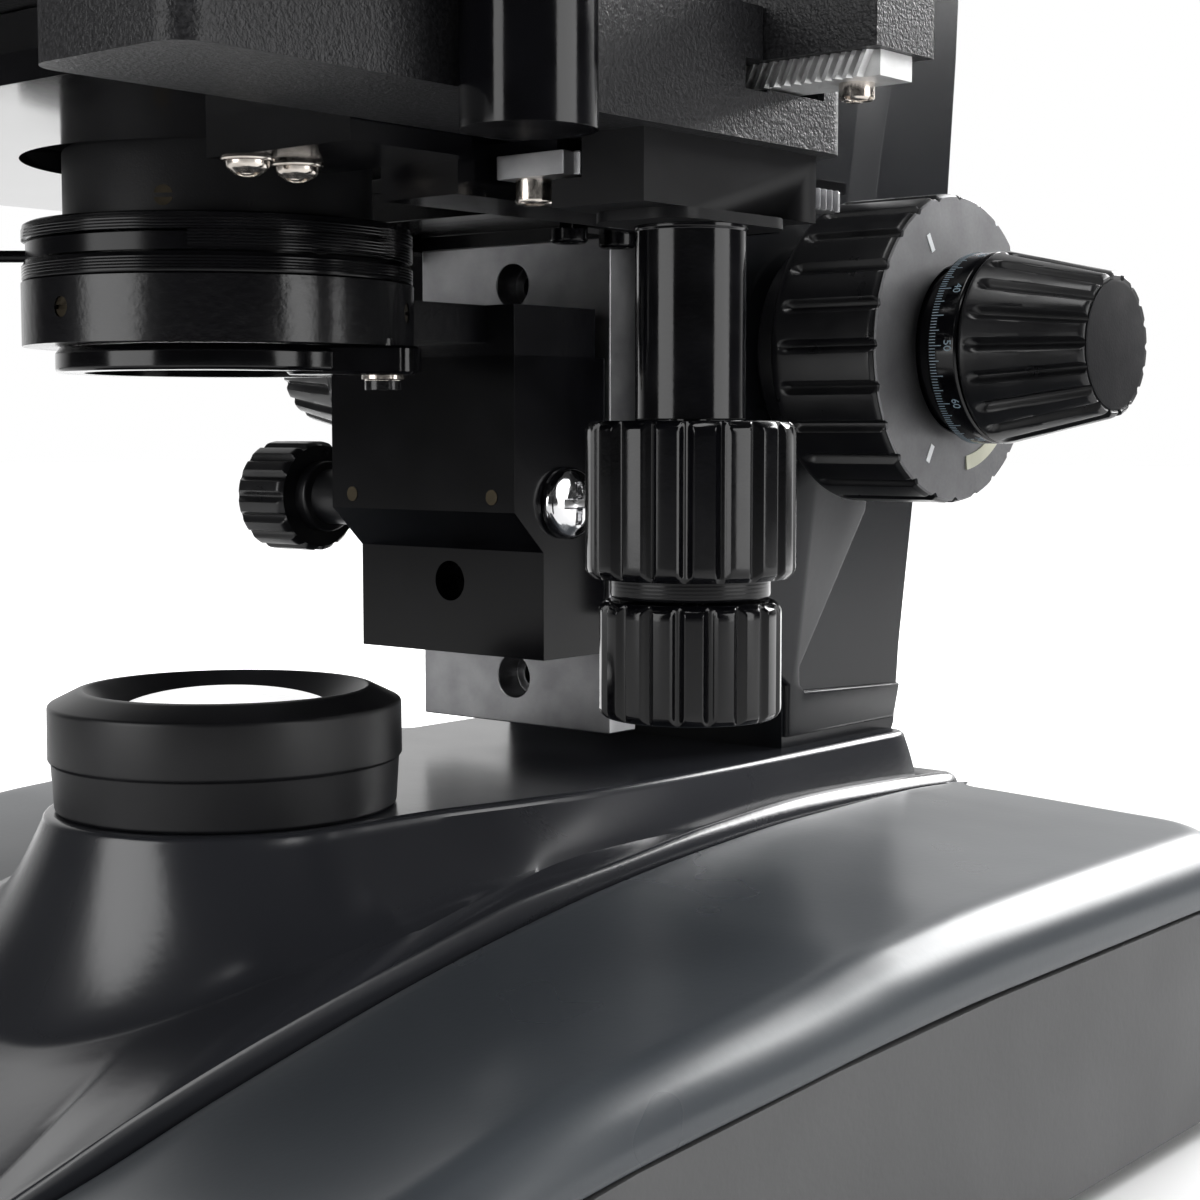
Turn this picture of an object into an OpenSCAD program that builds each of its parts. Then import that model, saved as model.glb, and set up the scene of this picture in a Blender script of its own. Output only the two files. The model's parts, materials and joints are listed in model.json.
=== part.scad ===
// Compound light microscope, in millimetres.
// +Z is up, the optical axis is the Z axis, the table is Z = 0, and the observer sits at -Y.

/* [Base] */
// Width of the base
base_w = 210; // [205:1:214]
// Distance from the optical axis to the front of the base
base_front = 97; // [94:1:104]
// Distance from the optical axis to the back of the base
base_back = 145; // [142:1:148]
// Radius of the base's front corners, seen from above
base_corner_r = 42; // [30:1:50]
// Wall thickness of the base casting and its covers
wall = 3; // [2.5:0.1:3.5]
// Height of the rubber feet under the base
foot_h = 3; // [2.5:0.5:4]
// Height of the deck that carries the arm
deck_z = 61; // [60:0.5:62]
// Height of the flat top of the side covers
wing_z = 50; // [49:0.5:51]
// Height of the seam between the side covers and the base casting
seam_z = 38.5; // [38:0.5:39]
// Half width of the centre cover
hump_x = 45; // [44:0.5:46]
// Outer diameter of the field lens ring
field_ring_d = 53.3; // [52:0.1:54]

/* [Arm] */
// Width of the arm
arm_w = 66; // [64:1:68]
// Distance from the optical axis to the front face of the arm
arm_front = 80; // [80:0.5:81]
// Height of the underside of the arm's top limb
limb_z = 275; // [275:1:277]
// Height of the top of the arm
arm_top = 312; // [311:1:316]

/* [Focus] */
// Height of the focus shafts
focus_z = 131.6; // [131:0.1:132]
// Distance from the optical axis to the focus shafts
focus_y = 106; // [105.5:0.1:106.5]
// Diameter of the coarse focus knobs
coarse_d = 52; // [50:0.5:53]
// Large diameter of the tapered fine focus knobs
fine_d = 32; // [30:0.5:33]
// Distance from the middle of the arm to the end of a fine knob
fine_end = 93.7; // [92:0.1:95]

/* [Stage] */
// Underside of the fixed stage plate
stage_under = 157.5; // [157:0.1:158]
// Top surface of the moving stage plate
stage_top = 172; // [171.5:0.1:172.5]
// Distance from the optical axis to the axis of the stage control knobs, across
control_x = 78; // [78:0.1:78.2]
// Distance from the optical axis to the axis of the stage control knobs, towards the arm
control_y = 14.4; // [14.3:0.1:14.5]
// Diameter of the upper stage control knob
y_knob_d = 28; // [26:0.5:29]
// Diameter of the lower stage control knob
x_knob_d = 24.4; // [22:0.2:25]

/* [Condenser] */
// Diameter of the condenser sleeve
sleeve_d = 45.6; // [44:0.1:46]
// Diameter of the carrier ring that holds the condenser
carrier_d = 57.9; // [57:0.1:58.5]
// Diameter of the swing-out filter holder
filter_d = 48.5; // [47:0.1:49]

/* [Head] */
// Height of the objective shoulders above the table
shoulder_z = 240.5; // [240.5:0.5:242]
// Angle of the nosepiece axis from the vertical
nose_tilt = 15; // [15:0.5:16]
// Radius of the circle that the objectives sit on
nose_r = 24; // [24:0.5:25]
// Angle of the eyepiece tubes above the horizontal
tube_tilt = 30; // [30:1:31]
// Radius that each eyepiece swings on about the head's own axis
eye_r = 37.5; // [37:0.5:38]
// Angle that each eyepiece hangs below that axis as drawn
eye_drop = 30; // [28:1:31]

/* [Hidden] */
$fn = 64;
eps = 0.01;
cover_foot = 16;   // lowest edge of the centre cover, at the front
run = 0.05;        // radial clearance of a shaft in its bearing
gap = 0.3;         // clearance between faces that pass each other
base_x = base_w / 2;
half_arm = arm_w / 2;
base_screw_ys = [-40, 18, 100];
switch_x = 57;     // middle of the power switch in the back wall
rack_m = 1;        // gear module of the focus and condenser racks
fine_m = 0.5;      // gear module of the stage racks
focus_teeth = 16;
focus_pitch_r = rack_m * focus_teeth / 2;
control_teeth = 16;
control_pitch_r = fine_m * control_teeth / 2;
condenser_teeth = 12;
condenser_pitch_r = rack_m * condenser_teeth / 2;
plate_y = 65;      // front face of the steel guide plate
plate_t = 7;
condenser_y = 54.3;  // place of the condenser focus shaft
condenser_z = 106;
slide_back = arm_front - gap;
arm_foot_y = 100;  // front of the arm's foot, set back under its slideway
slideway_z = 86;   // lower end of the slideway on the arm
head_y = 55;       // how far ahead of the optical axis the head's swing axis starts
head_z = 352;
dove_h = 8;        // height of the dovetail that the head sits on
lock_z = 320.5;

// ---------- shared shapes ----------

// Arc points in the plane, from angle a0 to a1 in n steps
function arc(cx, cy, r, a0, a1, n) =
    [for (i = [0:n]) [cx + r * cos(a0 + (a1 - a0) * i / n), cy + r * sin(a0 + (a1 - a0) * i / n)]];

// A 2D profile drawn as (Y, Z), extruded along X between x0 and x1
module along_x(x0, x1) {
    translate([x0, 0, 0])
        rotate([90, 0, 90])
            linear_extrude(x1 - x0) children();
}

// A box given by its low and high corners
module block(lo, hi) {
    translate(lo) cube([hi[0] - lo[0], hi[1] - lo[1], hi[2] - lo[2]]);
}

// A cylinder along X
module rod_x(x0, x1, y, z, r) {
    translate([x0, y, z])
        rotate([0, 90, 0])
            cylinder(r = r, h = x1 - x0);
}

// A cylinder along Y
module rod_y(x, y0, y1, z, r) {
    translate([x, y0, z])
        rotate([-90, 0, 0])
            cylinder(r = r, h = y1 - y0);
}

// A cylinder along Z
module rod_z(x, y, z0, z1, r) {
    translate([x, y, z0])
        cylinder(r = r, h = z1 - z0);
}

// A rectangle with round corners, from exact pieces
module round_rect(x0, x1, y0, y1, r) {
    translate([x0 + r, y0]) square([x1 - x0 - 2 * r, y1 - y0]);
    translate([x0, y0 + r]) square([x1 - x0, y1 - y0 - 2 * r]);
    for (x = [x0 + r, x1 - r], y = [y0 + r, y1 - r])
        translate([x, y]) circle(r = r);
}

// A round disc with n grooves cut into its rim
module fluted(r, n, groove_r, depth) {
    difference() {
        circle(r = r);
        for (i = [0:n - 1])
            rotate(i * 360 / n)
                translate([r + groove_r - depth, 0]) circle(r = groove_r);
    }
}

// Outline of a gear with thin straight-sided teeth, so that it runs free in its rack
module gear(m, teeth) {
    pitch_r = m * teeth / 2;
    root_r = pitch_r - 1.15 * m;
    tip_r = pitch_r + 0.75 * m;
    root_half = 0.62 * m;
    tip_half = 0.24 * m;
    circle(r = root_r);
    for (i = [0:teeth - 1])
        rotate(i * 360 / teeth)
            polygon([[root_r - 0.3 * m, -root_half], [tip_r, -tip_half],
                     [tip_r, tip_half], [root_r - 0.3 * m, root_half]]);
}

// Outline of a rack along X: teeth point to -Y, pitch line on Y = 0, a tooth gap is centred on X = 0
module rack(m, length_neg, length_pos, depth) {
    pitch = PI * m;
    first = ceil(-length_neg / pitch + 0.5);
    last = floor(length_pos / pitch - 0.5);
    root = 1.1 * m;
    tip = 0.75 * m;
    translate([-length_neg, root]) square([length_neg + length_pos, depth - root]);
    for (i = [first:last - 1])
        translate([(i + 0.5) * pitch, 0])
            polygon([[-0.68 * m, root + eps], [-0.24 * m, -tip], [0.24 * m, -tip], [0.68 * m, root + eps]]);
}

// ---------- base ----------

// Outline of the base seen from above, pulled in by a wall thickness
module base_outline(inset) {
    r = base_corner_r - inset;
    back_r = 18 - inset;
    x = base_x - inset;
    front = -base_front + inset;
    back = base_back - inset;
    polygon(concat(
        arc(x - r, front + r, r, -90, 0, 12),
        arc(x - back_r, back - back_r, back_r, 0, 90, 8),
        arc(-x + back_r, back - back_r, back_r, 90, 180, 8),
        arc(-x + r, front + r, r, 180, 270, 12)));
}

// Side profile of the seam on top of the casting, dropping towards the front
module seam_profile(drop) {
    polygon([[-base_front - 1, -1], [-base_front - 1, 26 - drop], [-60, 32.5 - drop], [-30, 35.5 - drop],
             [10, seam_z - 1 - drop], [50, seam_z - drop], [base_back + 1, seam_z - drop], [base_back + 1, -1]]);
}

// Side profile of the tops of the side covers
module wing_profile(drop) {
    polygon([[-base_front - 1, -1], [-base_front - 1, 27 - drop], [-76, 33 - drop], [-50, 39 - drop],
             [-25, 43 - drop], [5, 47 - drop], [35, wing_z - 0.7 - drop], [60, wing_z - drop],
             [base_back + 1, wing_z - drop], [base_back + 1, -1]]);
}

// Side profile of the skirt of the centre cover, where it meets the side covers
module skirt_profile(drop) {
    polygon([[-base_front - 1, -1], [-base_front - 1, 19 - drop], [-90, 21.5 - drop], [-62, 29.5 - drop],
             [-41.5, 34.5 - drop], [-25, 38.4 - drop], [-7, 42.2 - drop], [13, 45.7 - drop],
             [35, 48.7 - drop], [60, 50.9 - drop], [90, 52.3 - drop],
             [base_back + 1, 52.3 - drop], [base_back + 1, -1]]);
}

module base_casting() {
    rib_x = 33;
    color([0.24, 0.25, 0.27])
    union() {
        difference() {
            intersection() {
                translate([0, 0, foot_h]) linear_extrude(seam_z) base_outline(0);
                along_x(-base_x, base_x) seam_profile(0);
            }
            translate([0, 0, foot_h - 1]) linear_extrude(seam_z) base_outline(2 * wall);
            // opening for the power inlet in the back wall
            block([-14, base_back - 8, 12], [14, base_back + 1, 32]);
            // opening for the power switch in the back wall
            block([switch_x - 7, base_back - 8, 14.8], [switch_x + 7, base_back + 1, 31.2]);
            // notch that lets the centre cover run down to the front edge
            block([-hump_x - gap, -base_front - 1, cover_foot], [hump_x + gap, -base_front + 10, seam_z]);
            // hole for the dial's spindle in the left wall
            rod_x(-base_x - 1, -base_x + 8, -20, 22, 3 + run);
        }
        // two inner ribs carry the arm and the centre cover
        for (side = [-1, 1])
            difference() {
                block([side * rib_x - wall / 2, 62, foot_h + wall],
                      [side * rib_x + wall / 2, base_back - 2 * wall + eps, 49]);
                rod_x(side * rib_x - wall, side * rib_x + wall, 100, 24, 8);
            }
        // platform under the arm
        block([-rib_x - wall / 2, 66, 49 - eps], [rib_x + wall / 2, 134, 54]);
        // screw posts for the bottom plate
        for (side = [-1, 1], y = base_screw_ys)
            difference() {
                rod_z(side * 84, y, foot_h + wall - eps, 28, 5);
                rod_z(side * 84, y, foot_h, 20, 1.6);
            }
        for (side = [-1, 1], y = base_screw_ys)
            block([min(side * 87, side * (base_x - 5)), y - 1.5, foot_h + 8],
                  [max(side * 87, side * (base_x - 5)), y + 1.5, 28]);
    }
}

module side_cover(side) {
    color([0.30, 0.32, 0.35])
    difference() {
        intersection() {
            linear_extrude(wing_z + 1) base_outline(0);
            along_x(-base_x, base_x) wing_profile(0);
            block([side > 0 ? hump_x + gap : -base_x, -base_front, 0],
                  [side > 0 ? base_x : -hump_x - gap, base_back, wing_z + 5]);
        }
        // open underside, down to the seam
        along_x(-base_x - 1, base_x + 1) seam_profile(-0.05);
        intersection() {
            translate([0, 0, -1]) linear_extrude(wing_z + 1) base_outline(wall);
            along_x(-base_x, base_x) wing_profile(wall);
            block([side > 0 ? hump_x + wall : -base_x, -base_front, 0],
                  [side > 0 ? base_x : -hump_x - wall, base_back, wing_z]);
        }
    }
}
module side_cover_right() { side_cover(1); }
module side_cover_left() { side_cover(-1); }

// Solid form of the centre cover, shrunk by a wall thickness
module centre_form(inset) {
    ridge_top = 37 - inset;
    ridge_foot = 41 - inset;
    nose_top_r = 27.5 - inset;
    nose_foot_r = 40 - inset;
    intersection() {
        translate([0, 0, 0]) linear_extrude(deck_z) base_outline(inset);
        union() {
            intersection() {
                along_x(-hump_x + inset, hump_x - inset) skirt_profile(inset);
                block([-hump_x, -base_front, 0], [hump_x, base_back - inset, deck_z]);
            }
            // the ridge that runs back from the nose to the arm
            translate([0, base_back - 6 - inset, 0])
                rotate([90, 0, 0])
                    linear_extrude(base_back - 6 - 8 - inset)
                        polygon([[-ridge_foot, 0], [-ridge_foot, 48], [-ridge_top, deck_z - inset],
                                 [ridge_top, deck_z - inset], [ridge_foot, 48], [ridge_foot, 0]]);
            // the round nose under the field lens
            translate([0, 0, 30]) cylinder(r1 = nose_foot_r, r2 = nose_top_r, h = deck_z - 30 - inset);
        }
    }
}

module centre_cover() {
    color([0.10, 0.11, 0.13])
    difference() {
        centre_form(0);
        difference() {
            translate([0, 0, -1]) centre_form(wall);
            block([-hump_x, -base_front, deck_z - wall - 1], [hump_x, base_back, deck_z]);
        }
        block([-base_x, -base_front - 1, -1], [base_x, base_back + 1, cover_foot + 0.05]);
        block([-base_x, base_back - 2 * wall - gap, -1], [base_x, base_back + 1, seam_z + 0.05]);
        // mouth for the light
        rod_z(0, 0, 20, deck_z + 1, 19);
        // the arm stands on the casting through this opening
        block([-half_arm - gap, arm_foot_y - gap, 20], [half_arm + gap, 138 + gap, deck_z + 1]);
    }
}

module bottom_plate() {
    vents = 8;
    color([0.45, 0.46, 0.48])
    difference() {
        translate([0, 0, foot_h]) linear_extrude(wall - 0.05) base_outline(2 * wall + gap);
        for (i = [0:vents - 1])
            block([-40 + i * 11, -40, foot_h - 1], [-36 + i * 11, 10, foot_h + wall + 1]);
        for (side = [-1, 1], y = base_screw_ys)
            rod_z(side * 84, y, 0, 10, 1.9);
    }
}

module rubber_feet() {
    color([0.06, 0.06, 0.06])
    for (side = [-1, 1], y = [-62, 116])
        rod_z(side * 74, y, 0, foot_h, 11);
}

module base_screws() {
    color([0.7, 0.7, 0.72])
    for (side = [-1, 1], y = base_screw_ys) {
        rod_z(side * 84, y, foot_h - 1.8, foot_h, 3.2);
        rod_z(side * 84, y, foot_h - eps, 16, 1.5);
    }
}

module field_lens_ring() {
    r = field_ring_d / 2;
    color([0.11, 0.11, 0.12])
    rotate_extrude($fn = 96)
        polygon([[15, deck_z - 8], [18.8, deck_z - 8], [18.8, deck_z], [r - 0.95, deck_z], [r, 68.5],
                 [r, 77.5], [22, 79.3], [21, 79.2], [14.6, 74.5], [14.6, 71], [15, 71]]);
}

module field_lens() {
    lens_r = 14.5;
    rise = 3;
    sphere_r = (lens_r * lens_r + rise * rise) / (2 * rise);
    lens_z = 74.6;
    color([0.85, 0.9, 0.95, 0.4])
    rotate_extrude($fn = 96)
        polygon(concat([[0, lens_z - 3], [lens_r, lens_z - 3]],
            arc(0, lens_z + rise - sphere_r, sphere_r, 90 - asin(lens_r / sphere_r), 90, 10)));
}

module mirror_unit() {
    color([0.8, 0.82, 0.85])
    union() {
        // cradle of two cheeks with a plate between them at 45 degrees
        for (side = [-1, 1])
            block([side * 16 - 1, -14, foot_h + wall], [side * 16 + 1, 14, 32]);
        translate([0, 0, 20])
            rotate([45, 0, 0])
                translate([-15.5, -16, -1.5]) cube([31, 32, 3]);
    }
}

module lamp_unit() {
    lamp_y = 44;
    fins = 5;
    color([0.6, 0.6, 0.62])
    union() {
        rod_y(0, 20, lamp_y, 20, 12);
        block([-16, lamp_y - eps, foot_h + wall], [16, lamp_y + 4, 34]);
        for (i = [0:fins - 1])
            block([-14 + i * 6.6, lamp_y + 4 - eps, foot_h + wall + 1], [-12 + i * 6.6, lamp_y + 15, 33]);
    }
}

module power_board() {
    color([0.1, 0.35, 0.15])
    union() {
        block([-80, 30, 10], [-48, 96, 11.6]);
        for (y = [36, 90], x = [-77, -51])
            rod_z(x, y, foot_h + wall, 10 + eps, 2);
        rod_z(-70, 48, 11.6 - eps, 30, 6);
        block([-66, 62, 11.6 - eps], [-52, 82, 26]);
    }
}

module power_inlet() {
    color([0.07, 0.07, 0.07])
    difference() {
        union() {
            block([-14 + run, base_back - 20, 12 + run], [14 - run, base_back, 32 - run]);
            block([-18, base_back, 9.5], [18, base_back + 2, 34.5]);
        }
        // socket for the mains lead, with three blades left standing
        difference() {
            block([-12, base_back - 16, 14], [12, base_back + 3, 30]);
            for (x = [-7, 0, 7])
                block([x - 1, base_back - 17, x == 0 ? 23 : 18], [x + 1, base_back - 3, x == 0 ? 27 : 22]);
        }
    }
}

module power_switch() {
    color([0.07, 0.07, 0.07])
    union() {
        rod_x(switch_x - 5, switch_x + 5, base_back - 4, 23, 6.5);
        along_x(switch_x - 5, switch_x + 5)
            polygon([[base_back - 4, 16.5], [base_back + 0.5, 16.5], [base_back + 2.5, 29.5], [base_back - 4, 29.5]]);
    }
}

module brightness_dial() {
    color([0.08, 0.08, 0.08])
    union() {
        translate([-base_x - 0.2, -20, 22])
            rotate([0, -90, 0])
                linear_extrude(0.1) circle(r = 9);
        rod_x(-base_x - 0.2, -base_x + 16, -20, 22, 3);
    }
}

// ---------- arm ----------

// Side profile of the arm: column, top limb and rounded nose
function arm_back_edge() = [[133, 54], [137.5, 62], [139, 77], [143.5, 104], [150.5, 137], [155, 163],
    [157.5, 190], [158.3, 204], [158.3, 262]];
module arm_profile() {
    polygon(concat(
        [[arm_foot_y, 54], [arm_foot_y, 72], [arm_front, slideway_z]],
        arc(arm_front - 30, limb_z - 30, 30, 0, 90, 8),
        arc(-29, limb_z + 9, 9, 270, 180, 5),
        arc(-29 + 12, arm_top - 21, 21, 180, 90, 6),
        arc(158.3 - 50, arm_top - 50, 50, 90, 0, 10),
        [for (i = [len(arm_back_edge()) - 1:-1:0]) arm_back_edge()[i]]));
}

// Cavity in the arm, open at the back
module arm_cavity_profile() {
    polygon([[arm_foot_y + 7, 70], [arm_foot_y + 7, 78], [86, 93], [86, 240], [100, 262], [152, 262],
             [170, 240], [170, 70]]);
}

module arm_casting() {
    color([0.13, 0.13, 0.15])
    difference() {
        along_x(-half_arm, half_arm) arm_profile();
        along_x(-half_arm + 6, half_arm - 6) arm_cavity_profile();
        // light path through the limb
        rod_z(0, 0, limb_z - 1, arm_top + 1, 13);
        // bearing hole for the focus shafts
        rod_x(-half_arm - 1, half_arm + 1, focus_y, focus_z, 9);
        // slot for the focus rack
        block([-6.5, arm_front - 1, 93.5], [6.5, 87, 176]);
        // seats for the side plugs
        for (side = [-1, 1])
            rod_x(side > 0 ? half_arm - 1.5 : -half_arm - 1, side > 0 ? half_arm + 1 : -half_arm + 1.5, 120, 180.5, 3.4);
    }
}

module arm_back_cover() {
    color([0.13, 0.13, 0.15])
    intersection() {
        along_x(-half_arm + 6.1, half_arm - 6.1) arm_profile();
        along_x(-half_arm + 6.1, half_arm - 6.1)
            difference() {
                arm_cavity_profile();
                polygon([[80, 60], [80, 270], [151, 270], [152, 240], [154.5, 206], [153, 180], [150, 156],
                         [145, 130], [139, 104], [134.5, 77], [134, 60]]);
            }
    }
}

// ---------- focus drive ----------

dove_front = 17;
dove_back = 20;
dove_clear = 0.25;

module focus_gibs() {
    color([0.07, 0.07, 0.08])
    for (side = [-1, 1])
        translate([0, 0, slideway_z])
            linear_extrude(104)
                polygon([[side * (dove_front + dove_clear), plate_y + plate_t + gap],
                         [side * (dove_back + dove_clear), arm_front],
                         [side * half_arm, arm_front], [side * half_arm, plate_y + plate_t + gap]]);
}

module focus_bushes() {
    color([0.72, 0.58, 0.3])
    for (side = [-1, 1])
        difference() {
            union() {
                rod_x(side > 0 ? half_arm - 12 : -half_arm, side > 0 ? half_arm : -half_arm + 12,
                      focus_y, focus_z, 9 - eps);
                rod_x(side > 0 ? half_arm : -half_arm - 2, side > 0 ? half_arm + 2 : -half_arm,
                      focus_y, focus_z, 14);
            }
            rod_x(-half_arm - 3, half_arm + 3, focus_y, focus_z, 5 + run);
        }
}

module focus_slide() {
    color([0.08, 0.08, 0.09])
    difference() {
        translate([0, 0, 72])
            linear_extrude(88)
                polygon([[-dove_front, plate_y + plate_t], [-dove_back, slide_back],
                         [dove_back, slide_back], [dove_front, plate_y + plate_t]]);
        for (z = [74.7, 143])
            rod_y(0, plate_y, slide_back - 2, z, 1.9);
    }
}

module focus_rack() {
    pitch_y = focus_y - focus_pitch_r;
    half_t = 5;
    color([0.6, 0.6, 0.62])
    translate([-half_t, pitch_y, focus_z])
        rotate([90, 0, 90])
            linear_extrude(2 * half_t)
                rotate(90)
                    rack(rack_m, 33.5, 16.5, pitch_y - slide_back);
}

module steel_guide_plate() {
    color([0.55, 0.55, 0.56])
    union() {
        difference() {
            block([-22, plate_y, 66.5], [22, plate_y + plate_t, 150]);
            for (z = [74.7, 143]) {
                rod_y(0, plate_y - 1, plate_y + 5, z, 3.7);
                rod_y(0, plate_y, plate_y + plate_t + 1, z, 1.9);
            }
        }
        // rack that the condenser pinion climbs
        translate([-3, condenser_y + condenser_pitch_r, condenser_z])
            rotate([90, 0, 90])
                linear_extrude(6)
                    rotate(-90)
                        rack(rack_m, 12, 24, plate_y - condenser_y - condenser_pitch_r + eps);
    }
}

module stage_bracket() {
    color([0.09, 0.09, 0.10])
    difference() {
        union() {
            block([-34, 42, 152.5], [34, plate_y + plate_t, stage_under]);
            block([-22, plate_y, 150], [22, plate_y + plate_t, 152.5 + eps]);
            for (side = [-1, 1])
                block([side * 27 - 3, 50, 150], [side * 27 + 3, plate_y + plate_t, 152.5 + eps]);
        }
        for (x = [-26, 26], y = [50, 62])
            rod_z(x, y, 149, stage_under + 1, 1.6);
    }
}

module stage_fixed_plate() {
    lip_back = -32;
    thin_top = 161;
    color([0.08, 0.08, 0.09])
    difference() {
        union() {
            translate([0, 0, stage_under])
                linear_extrude(thin_top - stage_under)
                    round_rect(-74, 53, -63, plate_y + 1, 3);
            block([-74, -60, thin_top - eps], [53, lip_back, 166.5]);
        }
        rod_z(0, 0, stage_under - 1, 168, 28.8);
        for (x = [-26, 26], y = [50, 62])
            rod_z(x, y, stage_under - 1, thin_top + 1, 1.6);
    }
}

y_rack_x = control_x - control_pitch_r;
module y_guide_rail() {
    color([0.10, 0.10, 0.11])
    union() {
        block([46, -11, 148], [60, plate_y - 5, stage_under]);
        block([60 - eps, -5.5, 153.05], [72, plate_y - 5, 154.7]);
        // cross piece under the front of the stage
        block([36, -32, 152.4], [62.5, -11 + eps, stage_under]);
    }
}

module y_rack() {
    length_neg = control_y + 6;
    color([0.62, 0.62, 0.63])
    translate([y_rack_x, control_y, 150])
        linear_extrude(3)
            rotate(90) rack(fine_m, length_neg, 42, 12);
}

// Screws of the stage: two pan heads with washers, one cap screw under the rack, four bracket screws
module stage_screws() {
    color([0.78, 0.77, 0.74])
    union() {
        for (y = [-30, -21.7]) {
            rod_z(41.6, y, 151.8, 152.4, 3.4);
            rotate_pan(41.6, y, 151.8);
        }
        difference() {
            rod_z(66, -3, 146.8, 150, 2.5);
            rod_z(66, -3, 146, 148.6, 1.3);
        }
        for (x = [-26, 26], y = [50, 62])
            rod_z(x, y, 147.6, 150, 3);
    }
}
module rotate_pan(x, y, z) {
    translate([x, y, z - 2])
        difference() {
            cylinder(r1 = 1.9, r2 = 2.9, h = 2);
            block([-3, -0.4, -0.1], [3, 0.4, 0.9]);
            block([-0.4, -3, -0.1], [0.4, 3, 0.9]);
        }
}

module coarse_knob(side) {
    outer = 64.4;
    color([0.05, 0.05, 0.06])
    translate([0, focus_y, focus_z])
        rotate([0, side * 90, 0])
            difference() {
                union() {
                    translate([0, 0, 43.4]) linear_extrude(outer - 43.4) fluted(coarse_d / 2, 24, 2.2, 1.1);
                    translate([0, 0, half_arm + 3]) cylinder(r = 19, h = 8);
                }
                translate([0, 0, half_arm]) cylinder(r = 5, h = 40);
                // recess for the scale drum
                translate([0, 0, outer - 3]) cylinder(r = 17.6, h = 5);
            }
}
module coarse_knob_right() { coarse_knob(1); }
module coarse_knob_left() { coarse_knob(-1); }

module coarse_shaft() {
    shaft_end = 61.4;
    color([0.6, 0.6, 0.62])
    difference() {
        union() {
            rod_x(-shaft_end, shaft_end, focus_y, focus_z, 5);
            translate([-4.5, focus_y, focus_z])
                rotate([0, 90, 0])
                    linear_extrude(9) gear(rack_m, focus_teeth);
        }
        rod_x(-shaft_end - 1, shaft_end + 1, focus_y, focus_z, 3 + run);
    }
}

// One tapered fine knob, from its large end outwards
module fine_knob(side) {
    start = 69.5;
    n = 18;
    r0 = fine_d / 2;
    r1 = r0 - 4;
    h = fine_end - start;
    lean = atan((r0 - r1) / h);
    translate([0, focus_y, focus_z])
        rotate([0, side * 90, 0])
            difference() {
                translate([0, 0, start]) cylinder(r1 = r0, r2 = r1, h = h);
                for (i = [0:n - 1])
                    rotate(i * 360 / n)
                        translate([r0 + 0.6, 0, start + 1.5])
                            rotate([0, -lean, 0]) cylinder(r = 1.5, h = h + 2, $fn = 16);
            }
}

module fine_knobs() {
    color([0.05, 0.05, 0.06])
    union() {
        fine_knob(1);
        fine_knob(-1);
        rod_x(-69.5 - eps, 69.5 + eps, focus_y, focus_z, 3);
    }
}

module fine_scale_drum() {
    color([0.05, 0.05, 0.06])
    for (side = [-1, 1])
        translate([0, focus_y, focus_z])
            rotate([0, side * 90, 0])
                difference() {
                    translate([0, 0, 61.7]) cylinder(r = 16.5, h = 69.5 - 61.7);
                    translate([0, 0, 61]) cylinder(r = 3 + eps, h = 9);
                }
}

// ---------- stage, moving plates ----------

channel_y0 = control_y + control_pitch_r - 2.1;
channel_y1 = channel_y0 + 14;
rack_z0 = 162;
bar_z0 = 165.3;
bar_top = 178;
hold_x = -30;      // middle of the slide holder

module stage_moving_plate() {
    thick_y = -4;
    rail_x = 88;
    floor_z = 161.6;
    color([0.09, 0.09, 0.10])
    difference() {
        union() {
            translate([0, 0, 166.8]) linear_extrude(stage_top - 166.8) round_rect(-74, rail_x, -78, 36.5, 3);
            block([-74, thick_y, 161.3], [70, 36.5, 170]);
            translate([0, 0, 155]) linear_extrude(stage_top - 155) round_rect(63, rail_x, -78, 36.5, 4);
        }
        // opening for the light
        translate([0, 0, 160]) linear_extrude(20) round_rect(-16, 16, -44, 14, 14);
        // channel for the X bar and its rack
        block([-75, channel_y0, rack_z0 - gap], [rail_x + 1, channel_y1, stage_top + 1]);
        // slot in the side, where the rack comes out
        block([80, 12.6, 161.3], [rail_x + 1, channel_y0 + 1, 165.2]);
        // room for the pinions
        rod_z(control_x, control_y, 154, bar_z0 + 1.5, 5.4);
    }
}

module control_housing() {
    color([0.07, 0.07, 0.08])
    difference() {
        union() {
            block([70, -4.3, 146], [85, 33, 155]);
            translate([0, 0, 144.6]) linear_extrude(1.4 + eps) round_rect(69.5, 85.5, 2, 28, 5);
            rod_z(control_x, control_y, 119.4, 146, 7.175);
        }
        // the fixed rack passes through here
        block([60, -5, 149.6], [y_rack_x + 1, 34, 155 + eps]);
        rod_z(control_x, control_y, 149.6, 156, 5.2);
        rod_z(control_x, control_y, 119, 150, 3 + run);
    }
}

module side_post() {
    color([0.04, 0.04, 0.05])
    rod_z(88 + 7.5, -37, 150, 178, 7.5);
}

// Tube, bore, pinion and fluted knob that turn as one about the control axis
module y_knob() {
    top = 119.2;
    knob_end = 98.4;
    collar_end = 95.7;
    color([0.04, 0.04, 0.05])
    translate([control_x, control_y, 0])
        difference() {
            union() {
                translate([0, 0, knob_end]) linear_extrude(top - knob_end) fluted(y_knob_d / 2, 18, 1.2, 0.9);
                translate([0, 0, collar_end]) cylinder(r = 10.75, h = knob_end - collar_end + eps);
                translate([0, 0, top - eps]) cylinder(r = 3, h = 150.3 - top);
                translate([0, 0, 150.2]) linear_extrude(2.6) gear(fine_m, control_teeth);
            }
            translate([0, 0, collar_end - 1]) cylinder(r = 1.8 + run, h = 60);
        }
}

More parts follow.
